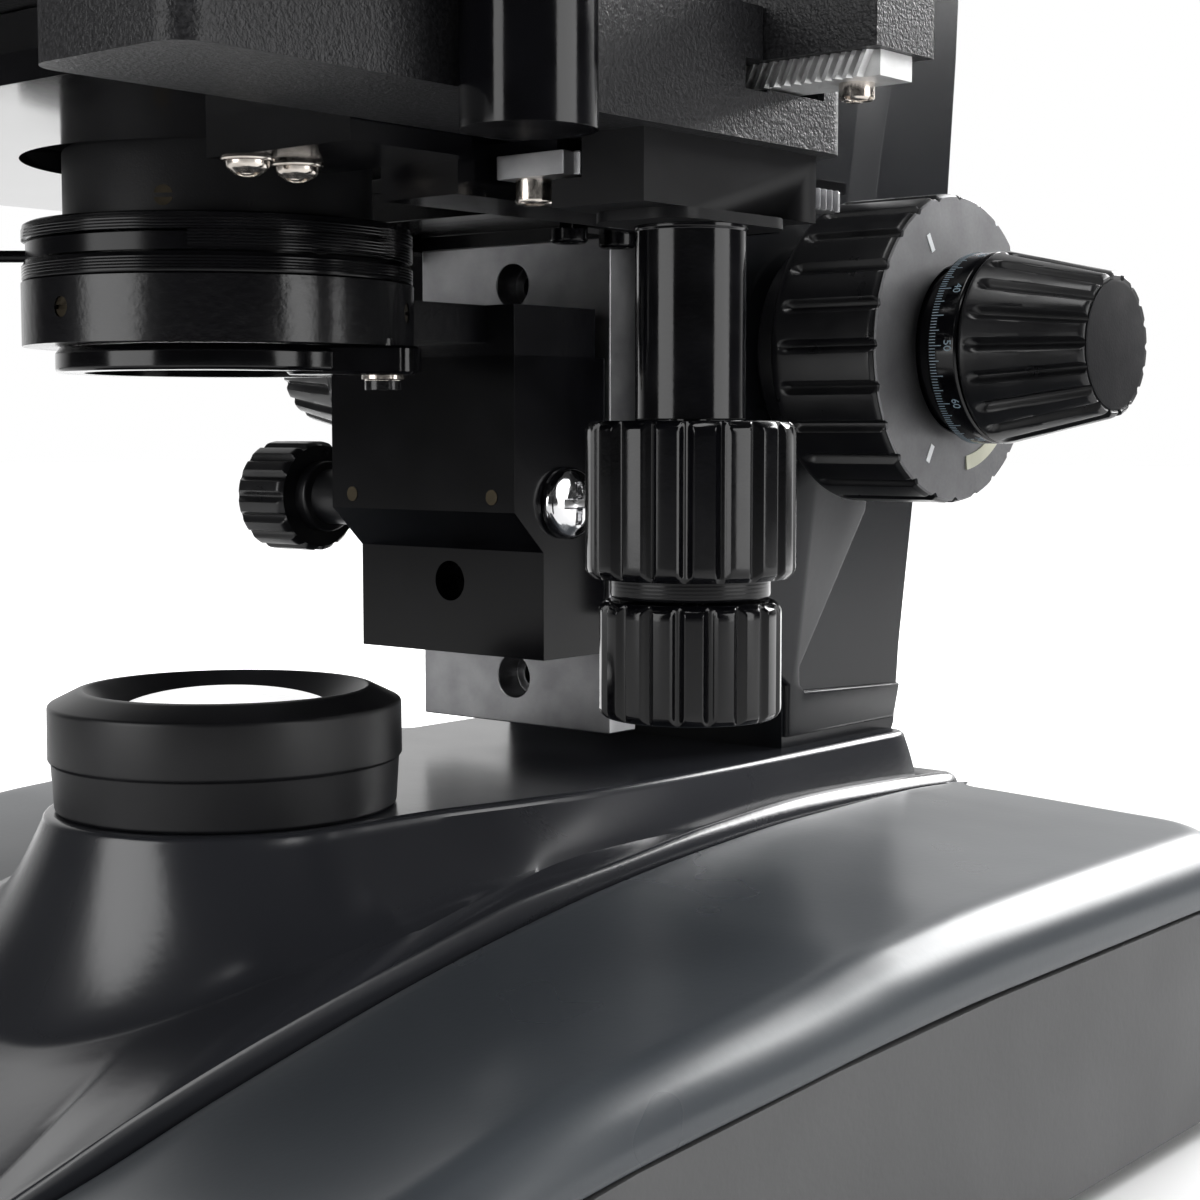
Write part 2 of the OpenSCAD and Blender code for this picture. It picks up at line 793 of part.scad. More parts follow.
module x_knob() {
    top = 95.5;
    bottom = 79.7;
    color([0.04, 0.04, 0.05])
    translate([control_x, control_y, 0])
        union() {
            translate([0, 0, bottom]) linear_extrude(top - bottom) fluted(x_knob_d / 2, 18, 1.1, 0.8);
            translate([0, 0, top - eps]) cylinder(r = 1.8, h = 162.3 - top);
            translate([0, 0, 162.2])
                linear_extrude(2.8) gear(fine_m, control_teeth);
        }
}

module x_bar() {
    color([0.10, 0.10, 0.11])
    difference() {
        block([-84, channel_y0 + gap, bar_z0], [105, channel_y1 - gap, bar_top]);
        // groove along the front
        block([-85, channel_y0, 173], [106, channel_y0 + 1.3, 174.2]);
        for (x = [-30, 30])
            rod_z(hold_x + x, 22, bar_top - 4, bar_top + 1, 1.6);
    }
}

module x_rack() {
    pitch_y = control_y + control_pitch_r;
    color([0.7, 0.7, 0.71])
    union() {
        translate([control_x, pitch_y, rack_z0])
            linear_extrude(bar_z0 - rack_z0)
                rack(fine_m, 72, 26, 8);
        difference() {
            rod_z(98, pitch_y + 4.5, 159.8, rack_z0 + eps, 2.3);
            block([95, pitch_y + 4.2, 159], [101, pitch_y + 4.8, 160.6]);
        }
    }
}

module slide_holder() {
    jaw_z0 = stage_top + gap;
    jaw_z1 = 175;
    back_y = channel_y0 - 5;
    bridge_top = bar_top + 2;
    color([0.10, 0.10, 0.11])
    translate([hold_x, 0, 0])
        union() {
            // bridge on top of the bar, with its two screws
            block([-42, channel_y0 - 1.7, bar_top], [42, channel_y1 - 4, bridge_top]);
            for (x = [-30, 30])
                rod_z(x, 22, bridge_top - eps, bridge_top + 1.6, 3);
            // fence behind the slide, and the fixed finger on the right
            block([-42, channel_y0 - 1.7, jaw_z0], [46, channel_y0 + gap - 0.05, bar_top + eps]);
            block([-42, back_y, jaw_z0], [46, channel_y0 - 1.7 + eps, jaw_z1]);
            block([38, -12, jaw_z0], [46, back_y + eps, jaw_z1]);
            // lug and pin of the sprung finger
            block([-51, back_y - 1, 176.4], [-42 + eps, channel_y0, bridge_top]);
            rod_z(clip_x, channel_y0 - 3, jaw_z0 + 0.5, 176.5, 1.5);
        }
}

clip_x = -46.5;
module clip_finger() {
    finger_z0 = stage_top + gap;
    color([0.6, 0.6, 0.62])
    translate([hold_x + clip_x, channel_y0 - 3, finger_z0])
        difference() {
            union() {
                cylinder(r = 3.1, h = 3.7);
                linear_extrude(2)
                    polygon([[-3, 0], [-5, -12], [3, -26], [6.5, -26], [0.5, -12], [3, 0]]);
            }
            translate([0, 0, -1]) cylinder(r = 1.5 + run, h = 6);
        }
}

// ---------- condenser ----------

module condenser_block() {
    color([0.07, 0.07, 0.08])
    difference() {
        along_x(-21.3, 21.3)
            polygon([[42, 104.7], [49, 98], [49, 80.3], [64.7, 80.3], [64.7, 130], [42, 130]]);
        // the rack of the guide plate runs in this slot
        block([-4, condenser_y, 79], [4, plate_y, 131]);
        // pinion chamber and shaft holes
        rod_x(-6, 6, condenser_y, condenser_z, 7.2);
        rod_x(-23, 23, condenser_y, condenser_z, 3 + run);
        // clamp screw hole and grub screw holes in the front
        rod_y(0, 40, 56, 92.5, 3.4);
        for (x = [-16.3, 16.3])
            rod_y(x, 41, 44, 107.1, 1.3);
    }
}

module condenser_carrier() {
    outer_r = carrier_d / 2;
    ring_top = 139.4;
    ring_bottom = 130.2;
    arm_top_z = 138;
    screw_z = 135.2;
    color([0.07, 0.07, 0.08])
    difference() {
        union() {
            rod_z(0, 0, ring_bottom, ring_top, outer_r);
            block([-15, 20, 132], [15, 46, arm_top_z]);
            block([-21.3, 42, 130], [21.3, 62, arm_top_z]);
            // pin and screw head of the filter holder
            rod_z(filter_pivot_x, filter_pivot_y, 125, ring_bottom + 1, 1.6);
            rod_z(filter_pivot_x, filter_pivot_y, 123.8, 126, 2.65);
        }
        rod_z(0, 0, ring_bottom - 1, ring_top + 1, 22.85);
        for (a = carrier_screw_angles)
            rotate(a)
                translate([outer_r - 1.5, 0, screw_z])
                    rotate([0, 90, 0]) cylinder(r = 1.5, h = 3);
    }
}

module condenser_barrel() {
    sleeve_r = sleeve_d / 2;
    iris_top = 148;
    color([0.11, 0.11, 0.12])
    difference() {
        union() {
            rod_z(0, 0, 130.4, 139.4, sleeve_r);
            rod_z(0, 0, 145.4, iris_top, 28.8);
            rod_z(0, 0, 139.4, 142.4, 28.8);
            rod_z(0, 0, iris_top - eps, 159, sleeve_r);
            rod_z(0, 0, 139.4, iris_top, 25.4);
            translate([0, 0, 159 - eps]) cylinder(r1 = sleeve_r, r2 = 18, h = 1.8);
        }
        rod_z(0, 0, 129, 162, 15);
        rotate(-59.5)
            translate([sleeve_r - 1.2, 0, 150.6])
                rotate([0, 90, 0]) cylinder(r = 1.5, h = 3);
        // slot that the iris ring turns in is the gap between the two flanges
    }
}

module condenser_lens() {
    color([0.85, 0.9, 0.95, 0.4])
    union() {
        rod_z(0, 0, 155, 160.4, 14.9);
        rod_z(0, 0, 131.5, 135.5, 14.9);
    }
}

// Slotted screws of the condenser and its carrier
module condenser_screws() {
    outer_r = carrier_d / 2;
    color([0.55, 0.55, 0.53])
    union() {
        for (a = carrier_screw_angles)
            rotate(a)
                slotted_screw(outer_r - 1.5, 135.2, 1.45);
        rotate(-59.5)
            slotted_screw(sleeve_d / 2 - 1.2, 150.6, 1.45);
        for (x = [-16.3, 16.3])
            rod_y(x, 41.9, 44, 107.1, 1.25);
    }
}
module slotted_screw(r0, z, r) {
    translate([r0, 0, z])
        rotate([0, 90, 0])
            difference() {
                cylinder(r = r, h = 1.2);
                block([-0.3, -2, 0.8], [0.3, 2, 1.3]);
            }
}

module iris_ring() {
    lever_a = -140;
    color([0.08, 0.08, 0.09])
    union() {
        difference() {
            rod_z(0, 0, 142.7, 145.1, 28.2);
            rod_z(0, 0, 142, 146, 25.5);
        }
        rotate(lever_a)
            rod_x(28, 58, 0, 143.9, 0.9);
    }
}

carrier_screw_angles = [-89.5, 30, 145];
filter_pivot_x = 26.5;
filter_pivot_y = 8;
module filter_holder() {
    top = 130.1;
    bottom = 126.3;
    color([0.09, 0.09, 0.10])
    difference() {
        union() {
            rod_z(0, 0, bottom, top, filter_d / 2);
            rod_z(filter_pivot_x, filter_pivot_y, bottom, top, 5);
        }
        rod_z(filter_pivot_x, filter_pivot_y, bottom - 1, top + 1, 1.6 + run);
        rod_z(0, 0, bottom - 1, top + 1, 20);
        rod_z(0, 0, bottom + 1.5, top + 1, 22.6);
    }
}

module condenser_knob() {
    color([0.05, 0.05, 0.06])
    union() {
        // shaft with the pinion in the middle
        rod_x(-38, 22.3, condenser_y, condenser_z, 3);
        translate([-2.8, condenser_y, condenser_z])
            rotate([0, 90, 0])
                linear_extrude(5.6) gear(rack_m, condenser_teeth);
        // hub and fluted knob on the left
        rod_x(-38, -21.5, condenser_y, condenser_z, 5);
        translate([-50, condenser_y, condenser_z])
            rotate([0, 90, 0])
                linear_extrude(12.5) fluted(10, 16, 1.1, 0.8);
        // domed steel cap on the right
        translate([21.5, condenser_y, condenser_z])
            rotate([0, 90, 0]) {
                cylinder(r = 6, h = 1.6);
                translate([0, 0, 1.6]) cylinder(r1 = 6, r2 = 3.4, h = 1.5);
            }
    }
}

// ---------- nosepiece and objectives ----------

turret_h = 12;
// Puts children in the nosepiece's own frame: its Z is the turret axis
module nose_frame() {
    translate([0, nose_r * cos(nose_tilt), shoulder_z + nose_r * sin(nose_tilt)])
        rotate([nose_tilt, 0, 0]) children();
}
// Puts children on one objective seat, Z along the light path
module on_seat(i) {
    rotate(-90 + 90 * i)
        translate([nose_r, 0, 0])
            rotate([0, -nose_tilt, 0]) children();
}

module nosepiece_mount() {
    color([0.12, 0.12, 0.13])
    difference() {
        union() {
            intersection() {
                block([-26, -28, 250], [26, 49.5, limb_z]);
                nose_frame() translate([0, 0, turret_h + gap]) cylinder(r = 60, h = 40);
            }
            nose_frame() translate([0, 0, turret_h + gap]) cylinder(r = 34, h = 3.4);
        }
        rod_z(0, 0, 240, limb_z + 1, 9);
        nose_frame() cylinder(r = 4 + run, h = turret_h + 3.8);
    }
}

module nosepiece_turret() {
    rim_r = 38;
    slope = tan(nose_tilt);
    color([0.20, 0.20, 0.21])
    nose_frame()
        difference() {
            union() {
                rotate_extrude($fn = 96)
                    polygon([[0, -nose_r * slope + 0.6], [6, -nose_r * slope + 0.6],
                             [7, (7 - nose_r) * slope], [rim_r - 2, (rim_r - 2 - nose_r) * slope],
                             [rim_r, (rim_r - nose_r) * slope + 2], [rim_r, turret_h], [0, turret_h]]);
                cylinder(r = 4, h = turret_h + 3.4);
                translate([0, 0, 5.5]) linear_extrude(turret_h - 6.5) fluted(rim_r + 1.5, 60, 1.2, 0.7);
            }
            for (i = [0:3])
                on_seat(i) {
                    translate([0, 0, -6]) cylinder(r = 10.16, h = 13);
                    cylinder(r = 8.5, h = 40);
                }
        }
}

// One objective hanging from its shoulder: length, nose diameter
module objective(len, tip_d) {
    barrel = 11.6;
    knurl = 12;
    rotate_extrude($fn = 64)
        polygon([[0, 4.5], [10.1, 4.5], [10.1, 0], [knurl, 0], [knurl, -5], [barrel, -5.5],
                 [barrel, -len * 0.62], [tip_d / 2 + 3, -len * 0.80], [tip_d / 2 + 1.5, -len * 0.80 - 0.8],
                 [tip_d / 2 + 1.5, -len * 0.93], [tip_d / 2, -len], [0, -len]]);
}

module objectives() {
    lengths = [30, 37, 44.2, 44.7];
    tips = [13, 9, 6.5, 5.6];
    color([0.75, 0.75, 0.76])
    nose_frame()
        for (i = [0:3])
            on_seat(i) objective(lengths[i], tips[i]);
}

// ---------- head ----------

module head_mount() {
    color([0.15, 0.15, 0.16])
    difference() {
        union() {
            rod_z(0, 0, arm_top, arm_top + 3, 26);
            translate([0, 0, arm_top + 3 - eps]) cylinder(r1 = 21, r2 = 18.5, h = dove_h);
        }
        rod_z(0, 0, arm_top - 1, arm_top + 4 + dove_h, 13);
    }
}

// Puts children in the frame of the swing axis: Z along the eyepieces, X stays across
module eye_frame() {
    translate([0, -head_y, head_z])
        rotate([90 - tube_tilt, 0, 0]) children();
}

module head_body() {
    collar_z = arm_top + 3 + gap;
    color([0.13, 0.13, 0.15])
    difference() {
        union() {
            rod_z(0, 0, collar_z, 332, 27);
            intersection() {
                translate([0, 0, 328]) linear_extrude(70) round_rect(-33, 33, -110, 40, 12);
                along_x(-33, 33)
                    polygon(concat([[-30, 328], [26, 328]], arc(14, 352, 26, -10, 88, 10),
                        [[-head_y + 21 * sin(tube_tilt), head_z + 21 * cos(tube_tilt)],
                         [-head_y - 21 * sin(tube_tilt), head_z - 21 * cos(tube_tilt)]]));
            }
        }
        // dovetail seat and light path
        translate([0, 0, arm_top + 3 - eps]) cylinder(r1 = 21 + gap, r2 = 18.5 + gap, h = dove_h + gap);
        rod_z(0, 0, arm_top, 346, 13);
        // bearing for the swing axis
        eye_frame() translate([0, 0, -14]) cylinder(r = 6 + run, h = 20);
        // lock screw hole
        rod_x(19, 34, 0, lock_z, 2 + run);
    }
}

module head_lock_screw() {
    color([0.6, 0.6, 0.62])
    union() {
        rod_x(20, 30, 0, lock_z, 2);
        translate([28, 0, lock_z])
            rotate([0, 90, 0])
                linear_extrude(7) fluted(5, 16, 0.8, 0.5);
    }
}

// One wing of the head with its eyepiece tube, on the side named by +1 or -1
module eye_tube(side) {
    wing_t = 9;
    low = side > 0 ? wing_t + 2 * gap : gap;
    wing_r = 17.5;
    a = side > 0 ? -eye_drop : 180 + eye_drop;
    x = eye_r * cos(a);
    y = eye_r * sin(a);
    color([0.13, 0.13, 0.15])
    eye_frame()
        difference() {
            union() {
                translate([0, 0, low])
                    linear_extrude(wing_t) {
                        circle(r = wing_r);
                        rotate(a) translate([0, -wing_r]) square([eye_r, 2 * wing_r]);
                        translate([x, y]) circle(r = wing_r);
                    }
                translate([x, y, gap]) cylinder(r = wing_r, h = 2 * wing_t + gap);
                translate([x, y, 2 * wing_t]) cylinder(r = 15, h = 34);
            }
            // bore for the eyepiece
            translate([x, y, 24]) cylinder(r = 11.6, h = 40);
            translate([x, y, 4]) cylinder(r = 9, h = 30);
            // hub bore on the swing axis
            if (side > 0)
                translate([0, 0, -1]) cylinder(r = 4 + run, h = 40);
        }
    // the left wing carries the hub that both turn on
    if (side < 0)
        color([0.13, 0.13, 0.15])
        eye_frame() {
            translate([0, 0, -10]) cylinder(r = 6, h = 10 + gap + wing_t);
            cylinder(r = 4, h = 2 * wing_t + 4 * gap);
            translate([0, 0, 2 * wing_t + 3 * gap]) cylinder(r = 9, h = 1.6);
        }
}
module eye_tube_left() { eye_tube(-1); }
module eye_tube_right() { eye_tube(1); }

// Revolved eyepiece in its own frame: barrel in the tube, wide body, soft cup
module eyepiece(side) {
    a = side > 0 ? -eye_drop : 180 + eye_drop;
    color([0.07, 0.07, 0.08])
    eye_frame()
        translate([eye_r * cos(a), eye_r * sin(a), 0])
            rotate_extrude($fn = 64)
                polygon([[0, 30], [11.55, 30], [11.55, 52.7], [15.5, 52.7], [15.5, 62], [16.8, 64],
                         [16.8, 84], [16.6, 85], [16.4, 98], [14.8, 103], [13.2, 103], [13.6, 98],
                         [12.5, 93], [0, 93]]);
}
module eyepiece_left() { eyepiece(-1); }
module eyepiece_right() { eyepiece(1); }

// Ring on the left tube that sets the dioptre
module dioptre_ring() {
    a = 180 + eye_drop;
    color([0.07, 0.07, 0.08])
    eye_frame()
        translate([eye_r * cos(a), eye_r * sin(a), 38])
            difference() {
                linear_extrude(10) fluted(18.5, 36, 1.2, 0.6);
                translate([0, 0, -1]) cylinder(r = 15 + run, h = 12);
            }
}

base_casting();
side_cover_right();
side_cover_left();
centre_cover();
bottom_plate();
rubber_feet();
base_screws();
field_lens_ring();
field_lens();
mirror_unit();
lamp_unit();
power_board();
power_inlet();
power_switch();
brightness_dial();
arm_casting();
arm_back_cover();
focus_gibs();
focus_bushes();
focus_slide();
focus_rack();
steel_guide_plate();
stage_bracket();
stage_fixed_plate();
y_guide_rail();
y_rack();
stage_screws();
coarse_knob_right();
coarse_knob_left();
coarse_shaft();
fine_knobs();
fine_scale_drum();
stage_moving_plate();
control_housing();
side_post();
y_knob();
x_knob();
x_bar();
x_rack();
slide_holder();
clip_finger();
condenser_block();
condenser_carrier();
condenser_barrel();
condenser_lens();
condenser_screws();
iris_ring();
filter_holder();
condenser_knob();
nosepiece_mount();
nosepiece_turret();
objectives();
head_mount();
head_body();
head_lock_screw();
eye_tube_left();
eye_tube_right();
eyepiece_left();
eyepiece_right();
dioptre_ring();
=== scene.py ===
"""Looks of a compound microscope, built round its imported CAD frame. Metres, +Z up, observer at -Y."""
import json
import math

import bmesh
import bpy
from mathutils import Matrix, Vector

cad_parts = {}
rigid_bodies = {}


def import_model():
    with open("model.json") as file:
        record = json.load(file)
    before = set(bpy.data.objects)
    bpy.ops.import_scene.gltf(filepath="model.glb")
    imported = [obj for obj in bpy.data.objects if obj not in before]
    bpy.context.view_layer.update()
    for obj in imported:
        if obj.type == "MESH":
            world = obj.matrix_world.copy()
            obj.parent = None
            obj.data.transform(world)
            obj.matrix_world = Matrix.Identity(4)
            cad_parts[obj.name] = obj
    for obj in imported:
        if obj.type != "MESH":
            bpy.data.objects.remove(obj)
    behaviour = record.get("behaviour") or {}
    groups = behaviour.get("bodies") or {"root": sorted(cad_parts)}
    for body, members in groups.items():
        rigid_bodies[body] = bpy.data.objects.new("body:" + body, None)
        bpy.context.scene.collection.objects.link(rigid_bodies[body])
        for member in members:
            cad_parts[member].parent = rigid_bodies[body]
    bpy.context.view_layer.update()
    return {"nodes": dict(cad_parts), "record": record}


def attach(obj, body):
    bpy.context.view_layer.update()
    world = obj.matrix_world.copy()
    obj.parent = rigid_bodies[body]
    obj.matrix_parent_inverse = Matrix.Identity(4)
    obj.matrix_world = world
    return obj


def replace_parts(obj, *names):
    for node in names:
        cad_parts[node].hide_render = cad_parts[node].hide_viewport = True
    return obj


for leftover in list(bpy.data.objects):
    bpy.data.objects.remove(leftover)
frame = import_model()
NODES = frame["nodes"]
MM = 0.001


# ---------- node materials ----------

LOW_END, HIGH_END = 0.3, 0.7  # where in a 0 to 1 noise its low and high looks begin
BANDS_PER_UNIT = 0.314  # wave texture scale for bands one unit apart
WHITE = (1, 1, 1, 1)


class Shade:
    """One node material: its Principled shader and the nodes that vary it over the surface."""

    def __init__(self, name, metallic=0.0, roughness=0.5, ior=1.5):
        self.material = bpy.data.materials.new(name)
        self.material.use_nodes = True
        self.tree = self.material.node_tree
        self.shader = self.tree.nodes["Principled BSDF"]
        self.shader.inputs["Metallic"].default_value = metallic
        self.shader.inputs["Roughness"].default_value = roughness
        self.shader.inputs["IOR"].default_value = ior
        self.place = self.tree.nodes.new("ShaderNodeTexCoord").outputs["Object"]
        self.height = None

    def node(self, kind, **values):
        made = self.tree.nodes.new(kind)
        for key, value in values.items():
            setattr(made, key, value)
        return made

    def link(self, source, target):
        self.tree.links.new(source, target)

    def stretched(self, scale):
        """The object's coordinates, scaled per axis."""
        mapping = self.node("ShaderNodeMapping")
        mapping.inputs["Scale"].default_value = scale
        self.link(self.place, mapping.inputs["Vector"])
        return mapping.outputs["Vector"]

    def noise(self, size, detail=3.0, scale=(1, 1, 1)):
        """Noise whose lumps are about size metres across."""
        made = self.node("ShaderNodeTexNoise")
        made.inputs["Scale"].default_value = 1 / size
        made.inputs["Detail"].default_value = detail
        self.link(self.stretched(scale), made.inputs["Vector"])
        return made.outputs["Fac"]

    def lines(self, size, axis):
        """Fine parallel lines, size metres apart, across the axis."""
        made = self.node("ShaderNodeTexWave", wave_type="BANDS", bands_direction=axis)
        made.inputs["Scale"].default_value = BANDS_PER_UNIT / size
        self.link(self.place, made.inputs["Vector"])
        return made.outputs["Fac"]

    def ramp(self, fac, stops):
        """Colour or grey from a 0 to 1 factor."""
        made = self.node("ShaderNodeValToRGB")
        elements = made.color_ramp.elements
        while len(elements) < len(stops):
            elements.new(0.5)
        for element, (position, value) in zip(elements, stops):
            element.position = position
            grey = (value, value, value) if isinstance(value, (int, float)) else value
            element.color = (*grey, 1)
        self.link(fac, made.inputs["Fac"])
        return made.outputs["Color"]

    def colour(self, fac, low, high):
        self.link(self.ramp(fac, [(LOW_END, low), (HIGH_END, high)]), self.shader.inputs["Base Color"])

    def gloss(self, fac, low, high):
        self.link(self.ramp(fac, [(LOW_END, low), (HIGH_END, high)]), self.shader.inputs["Roughness"])

    def bump(self, fac, distance, strength=1.0):
        """A relief of that height in metres, on top of any relief before it."""
        made = self.node("ShaderNodeBump")
        made.inputs["Distance"].default_value = distance
        made.inputs["Strength"].default_value = strength
        self.link(fac, made.inputs["Height"])
        if self.height is not None:
            self.link(self.height, made.inputs["Normal"])
        self.height = made.outputs["Normal"]
        self.link(self.height, self.shader.inputs["Normal"])


def paint(name, low, high, roughness=(0.2, 0.3), peel=0.000012, size=0.0012, ior=1.5):
    """Sprayed paint: orange peel, faint cloudiness and uneven gloss."""
    made = Shade(name, ior=ior)
    made.colour(made.noise(0.05, 2), low, high)
    made.gloss(made.noise(0.03, 2), *roughness)
    made.bump(made.noise(size, 2), peel)
    return made.material


def leather_grain():
    """Powder coat with a fine, lumpy leather grain."""
    made = Shade("leather_grain_coat", ior=1.36)
    made.colour(made.noise(0.0005, 2), (0.006, 0.006, 0.0068), (0.026, 0.026, 0.028))
    made.gloss(made.noise(0.001, 2), 0.32, 0.42)
    made.bump(made.noise(0.0006, 2), 0.00012, 0.9)
    made.bump(made.noise(0.0003, 2), 0.00004)
    return made.material


def anodised(name, low, high, roughness=(0.17, 0.21), grain=0.000003, size=0.0003, lathe=0.0, ior=1.33):
    """Black anodised aluminium, with lathe lines where it is turned."""
    made = Shade(name, ior=ior)
    made.colour(made.noise(0.01, 3), low, high)
    made.gloss(made.noise(0.02, 2), *roughness)
    made.bump(made.noise(size, 3), grain)
    if lathe:
        made.bump(made.lines(lathe, "Z"), 0.00001, 0.6)
    return made.material


def metal(name, low, high, roughness, grain=(1, 1, 1)):
    """Bare metal with a directional grind."""
    made = Shade(name, metallic=1.0)
    scratch_size, scratch_depth = 0.0006, 0.000004
    made.colour(made.noise(0.008, 5), low, high)
    made.gloss(made.noise(scratch_size, 4, grain), *roughness)
    made.bump(made.noise(scratch_size, 5, grain), scratch_depth)
    return made.material


def plastic(name, low, high, roughness, skin_depth=0.000005, size=0.0008, ior=1.48):
    """Moulded plastic with a faint skin texture."""
    made = Shade(name, ior=ior)
    made.colour(made.noise(0.01, 3), low, high)
    made.gloss(made.noise(0.005, 4), *roughness)
    made.bump(made.noise(size, 3), skin_depth)
    return made.material


def glass(name, clear, roughness):
    """Lens glass; clear is how much light goes through."""
    made = Shade(name, roughness=roughness)
    made.colour(made.noise(0.03, 1), (0.84, 0.88, 0.92), (0.93, 0.95, 0.97))
    made.shader.inputs["Transmission Weight"].default_value = clear
    return made.material


def painted_glow_lens():
    """Frosted field lens with a painted glow: white emission, a little weaker at grazing angles, that stands
    in for the white the lens reflects; no lamp is behind it.
    """
    made = Shade("field_lens_painted_glow", roughness=0.12)
    made.colour(made.noise(0.03, 1), (0.84, 0.85, 0.86), (0.92, 0.93, 0.94))
    rim = made.node("ShaderNodeLayerWeight")
    glow = made.ramp(rim.outputs["Facing"], [(0.35, 0.95), (1.0, 0.8)])
    made.link(glow, made.shader.inputs["Emission Strength"])
    made.shader.inputs["Emission Color"].default_value = WHITE
    return made.material


LOOKS = {
    "black_paint": paint("arm_paint", (0.007, 0.0075, 0.009), (0.010, 0.011, 0.0135), (0.22, 0.25),
                         ior=1.33),
    "hump_paint": paint("satin_cover_paint", (0.021, 0.022, 0.026), (0.027, 0.0285, 0.034), (0.21, 0.25),
                        0.000016, 0.0014, ior=1.6),
    "grey_paint": paint("cover_paint", (0.045, 0.051, 0.059), (0.053, 0.060, 0.068), (0.27, 0.33)),
    "base_grey": paint("plinth_paint", (0.064, 0.064, 0.066), (0.080, 0.080, 0.082), (0.5, 0.62), 0.00003),
    "grain_paint": leather_grain(),
    "black_anodised": anodised("black_anodised", (0.0015, 0.0015, 0.002), (0.0035, 0.0035, 0.0045)),
    "turned_black": anodised("turned_black", (0.003, 0.003, 0.0035), (0.006, 0.006, 0.007), (0.17, 0.22),
                             lathe=0.0005),
    "housing_black": anodised("housing_black", (0.004, 0.004, 0.0045), (0.007, 0.007, 0.008), (0.34, 0.42),
                              ior=1.25),
    "ring_black": anodised("ring_black", (0.007, 0.007, 0.008), (0.012, 0.012, 0.014), (0.34, 0.42),
                           ior=1.42),
    "satin_black": anodised("satin_black", (0.004, 0.004, 0.0045), (0.008, 0.008, 0.009), (0.10, 0.13)),
    "blasted_black": anodised("blasted_black", (0.004, 0.004, 0.005), (0.010, 0.010, 0.011), (0.4, 0.55),
                              0.00003),
    "cast_black": anodised("cast_black", (0.002, 0.002, 0.003), (0.004, 0.004, 0.005), (0.18, 0.24),
                           0.00004, 0.0014, ior=1.5),
    "ground_steel": metal("ground_steel", (0.30, 0.30, 0.31), (0.46, 0.46, 0.47), (0.3, 0.48), (1, 1, 8)),
    "face_grey": metal("turned_grey_face", (0.13, 0.13, 0.135), (0.18, 0.18, 0.185), (0.4, 0.52), (9, 1, 1)),
    "bright_steel": metal("bright_steel", (0.55, 0.55, 0.55), (0.72, 0.72, 0.72), (0.5, 0.6), (1, 1, 5)),
    "chrome": metal("chrome_plate", (0.72, 0.72, 0.73), (0.82, 0.82, 0.83), (0.05, 0.12)),
    "warm_chrome": metal("nickel_screw", (0.62, 0.56, 0.50), (0.80, 0.74, 0.68), (0.14, 0.26)),
    "brass": metal("machined_brass", (0.50, 0.36, 0.14), (0.66, 0.50, 0.24), (0.22, 0.36)),
    "dull_brass": metal("dull_brass", (0.025, 0.021, 0.015), (0.075, 0.062, 0.042), (0.3, 0.5)),
    "gloss_black": plastic("gloss_black_plastic", (0.0015, 0.0015, 0.002), (0.003, 0.003, 0.004),
                           (0.09, 0.15), ior=1.42),
    "matt_black": plastic("matt_black_plastic", (0.004, 0.004, 0.005), (0.008, 0.008, 0.009), (0.27, 0.36),
                          0.00001, 0.0005),
    "dull_black": plastic("dull_black_plastic", (0.005, 0.005, 0.006), (0.010, 0.010, 0.0115), (0.5, 0.7),
                          0.00003, 0.0005, ior=1.2),
    "rubber": plastic("soft_rubber", (0.010, 0.010, 0.010), (0.018, 0.018, 0.018), (0.6, 0.8),
                      0.00003, 0.0004),
    "marking": plastic("printed_marks", (0.62, 0.64, 0.66), (0.82, 0.83, 0.84), (0.4, 0.5)),
    "blue_marking": plastic("printed_scale", (0.20, 0.28, 0.34), (0.34, 0.42, 0.48), (0.4, 0.5)),
    "cream": plastic("cream_sector", (0.42, 0.42, 0.33), (0.62, 0.61, 0.50), (0.4, 0.6)),
    "plug_grey": plastic("plug_grey", (0.30, 0.30, 0.31), (0.42, 0.42, 0.43), (0.4, 0.5)),
    "glass": glass("lens_glass", 1.0, 0.02),
    # the field lens look glows with painted light, not light from a lamp
    "frosted": painted_glow_lens(),
    "mirror": metal("front_mirror", (0.85, 0.86, 0.88), (0.90, 0.91, 0.92), (0.02, 0.05)),
    "circuit": plastic("circuit_board", (0.010, 0.10, 0.03), (0.02, 0.16, 0.05), (0.3, 0.45)),
}
SLOT_OF = {part["node"]: part["material_slot"] for part in frame["record"]["subparts"]}
SHARP_EDGE = 32  # degrees; a bigger turn between two faces is an edge
WELD_GAP = 0.000002


def dress(obj, look):
    """Gives obj one look in all its material slots."""
    obj.data.materials.clear()
    obj.data.materials.append(LOOKS[look])


def linked(name, data):
    """A new object in the scene."""
    obj = bpy.data.objects.new(name, data)
    bpy.context.scene.collection.objects.link(obj)
    return obj


def soften(obj, width):
    """Rounds the sharp edges of a CAD node by modifiers alone."""
    normals = obj.data.attributes.get("custom_normal")
    if normals is not None:
        obj.data.attributes.remove(normals)
    obj.data.polygons.foreach_set("use_smooth", [True] * len(obj.data.polygons))
    weld = obj.modifiers.new("weld", "WELD")
    weld.merge_threshold = WELD_GAP
    bevel = obj.modifiers.new("bevel", "BEVEL")
    bevel.width = width
    bevel.segments = 2
    bevel.limit_method = "ANGLE"
    bevel.angle_limit = math.radians(SHARP_EDGE)
    bevel.harden_normals = True


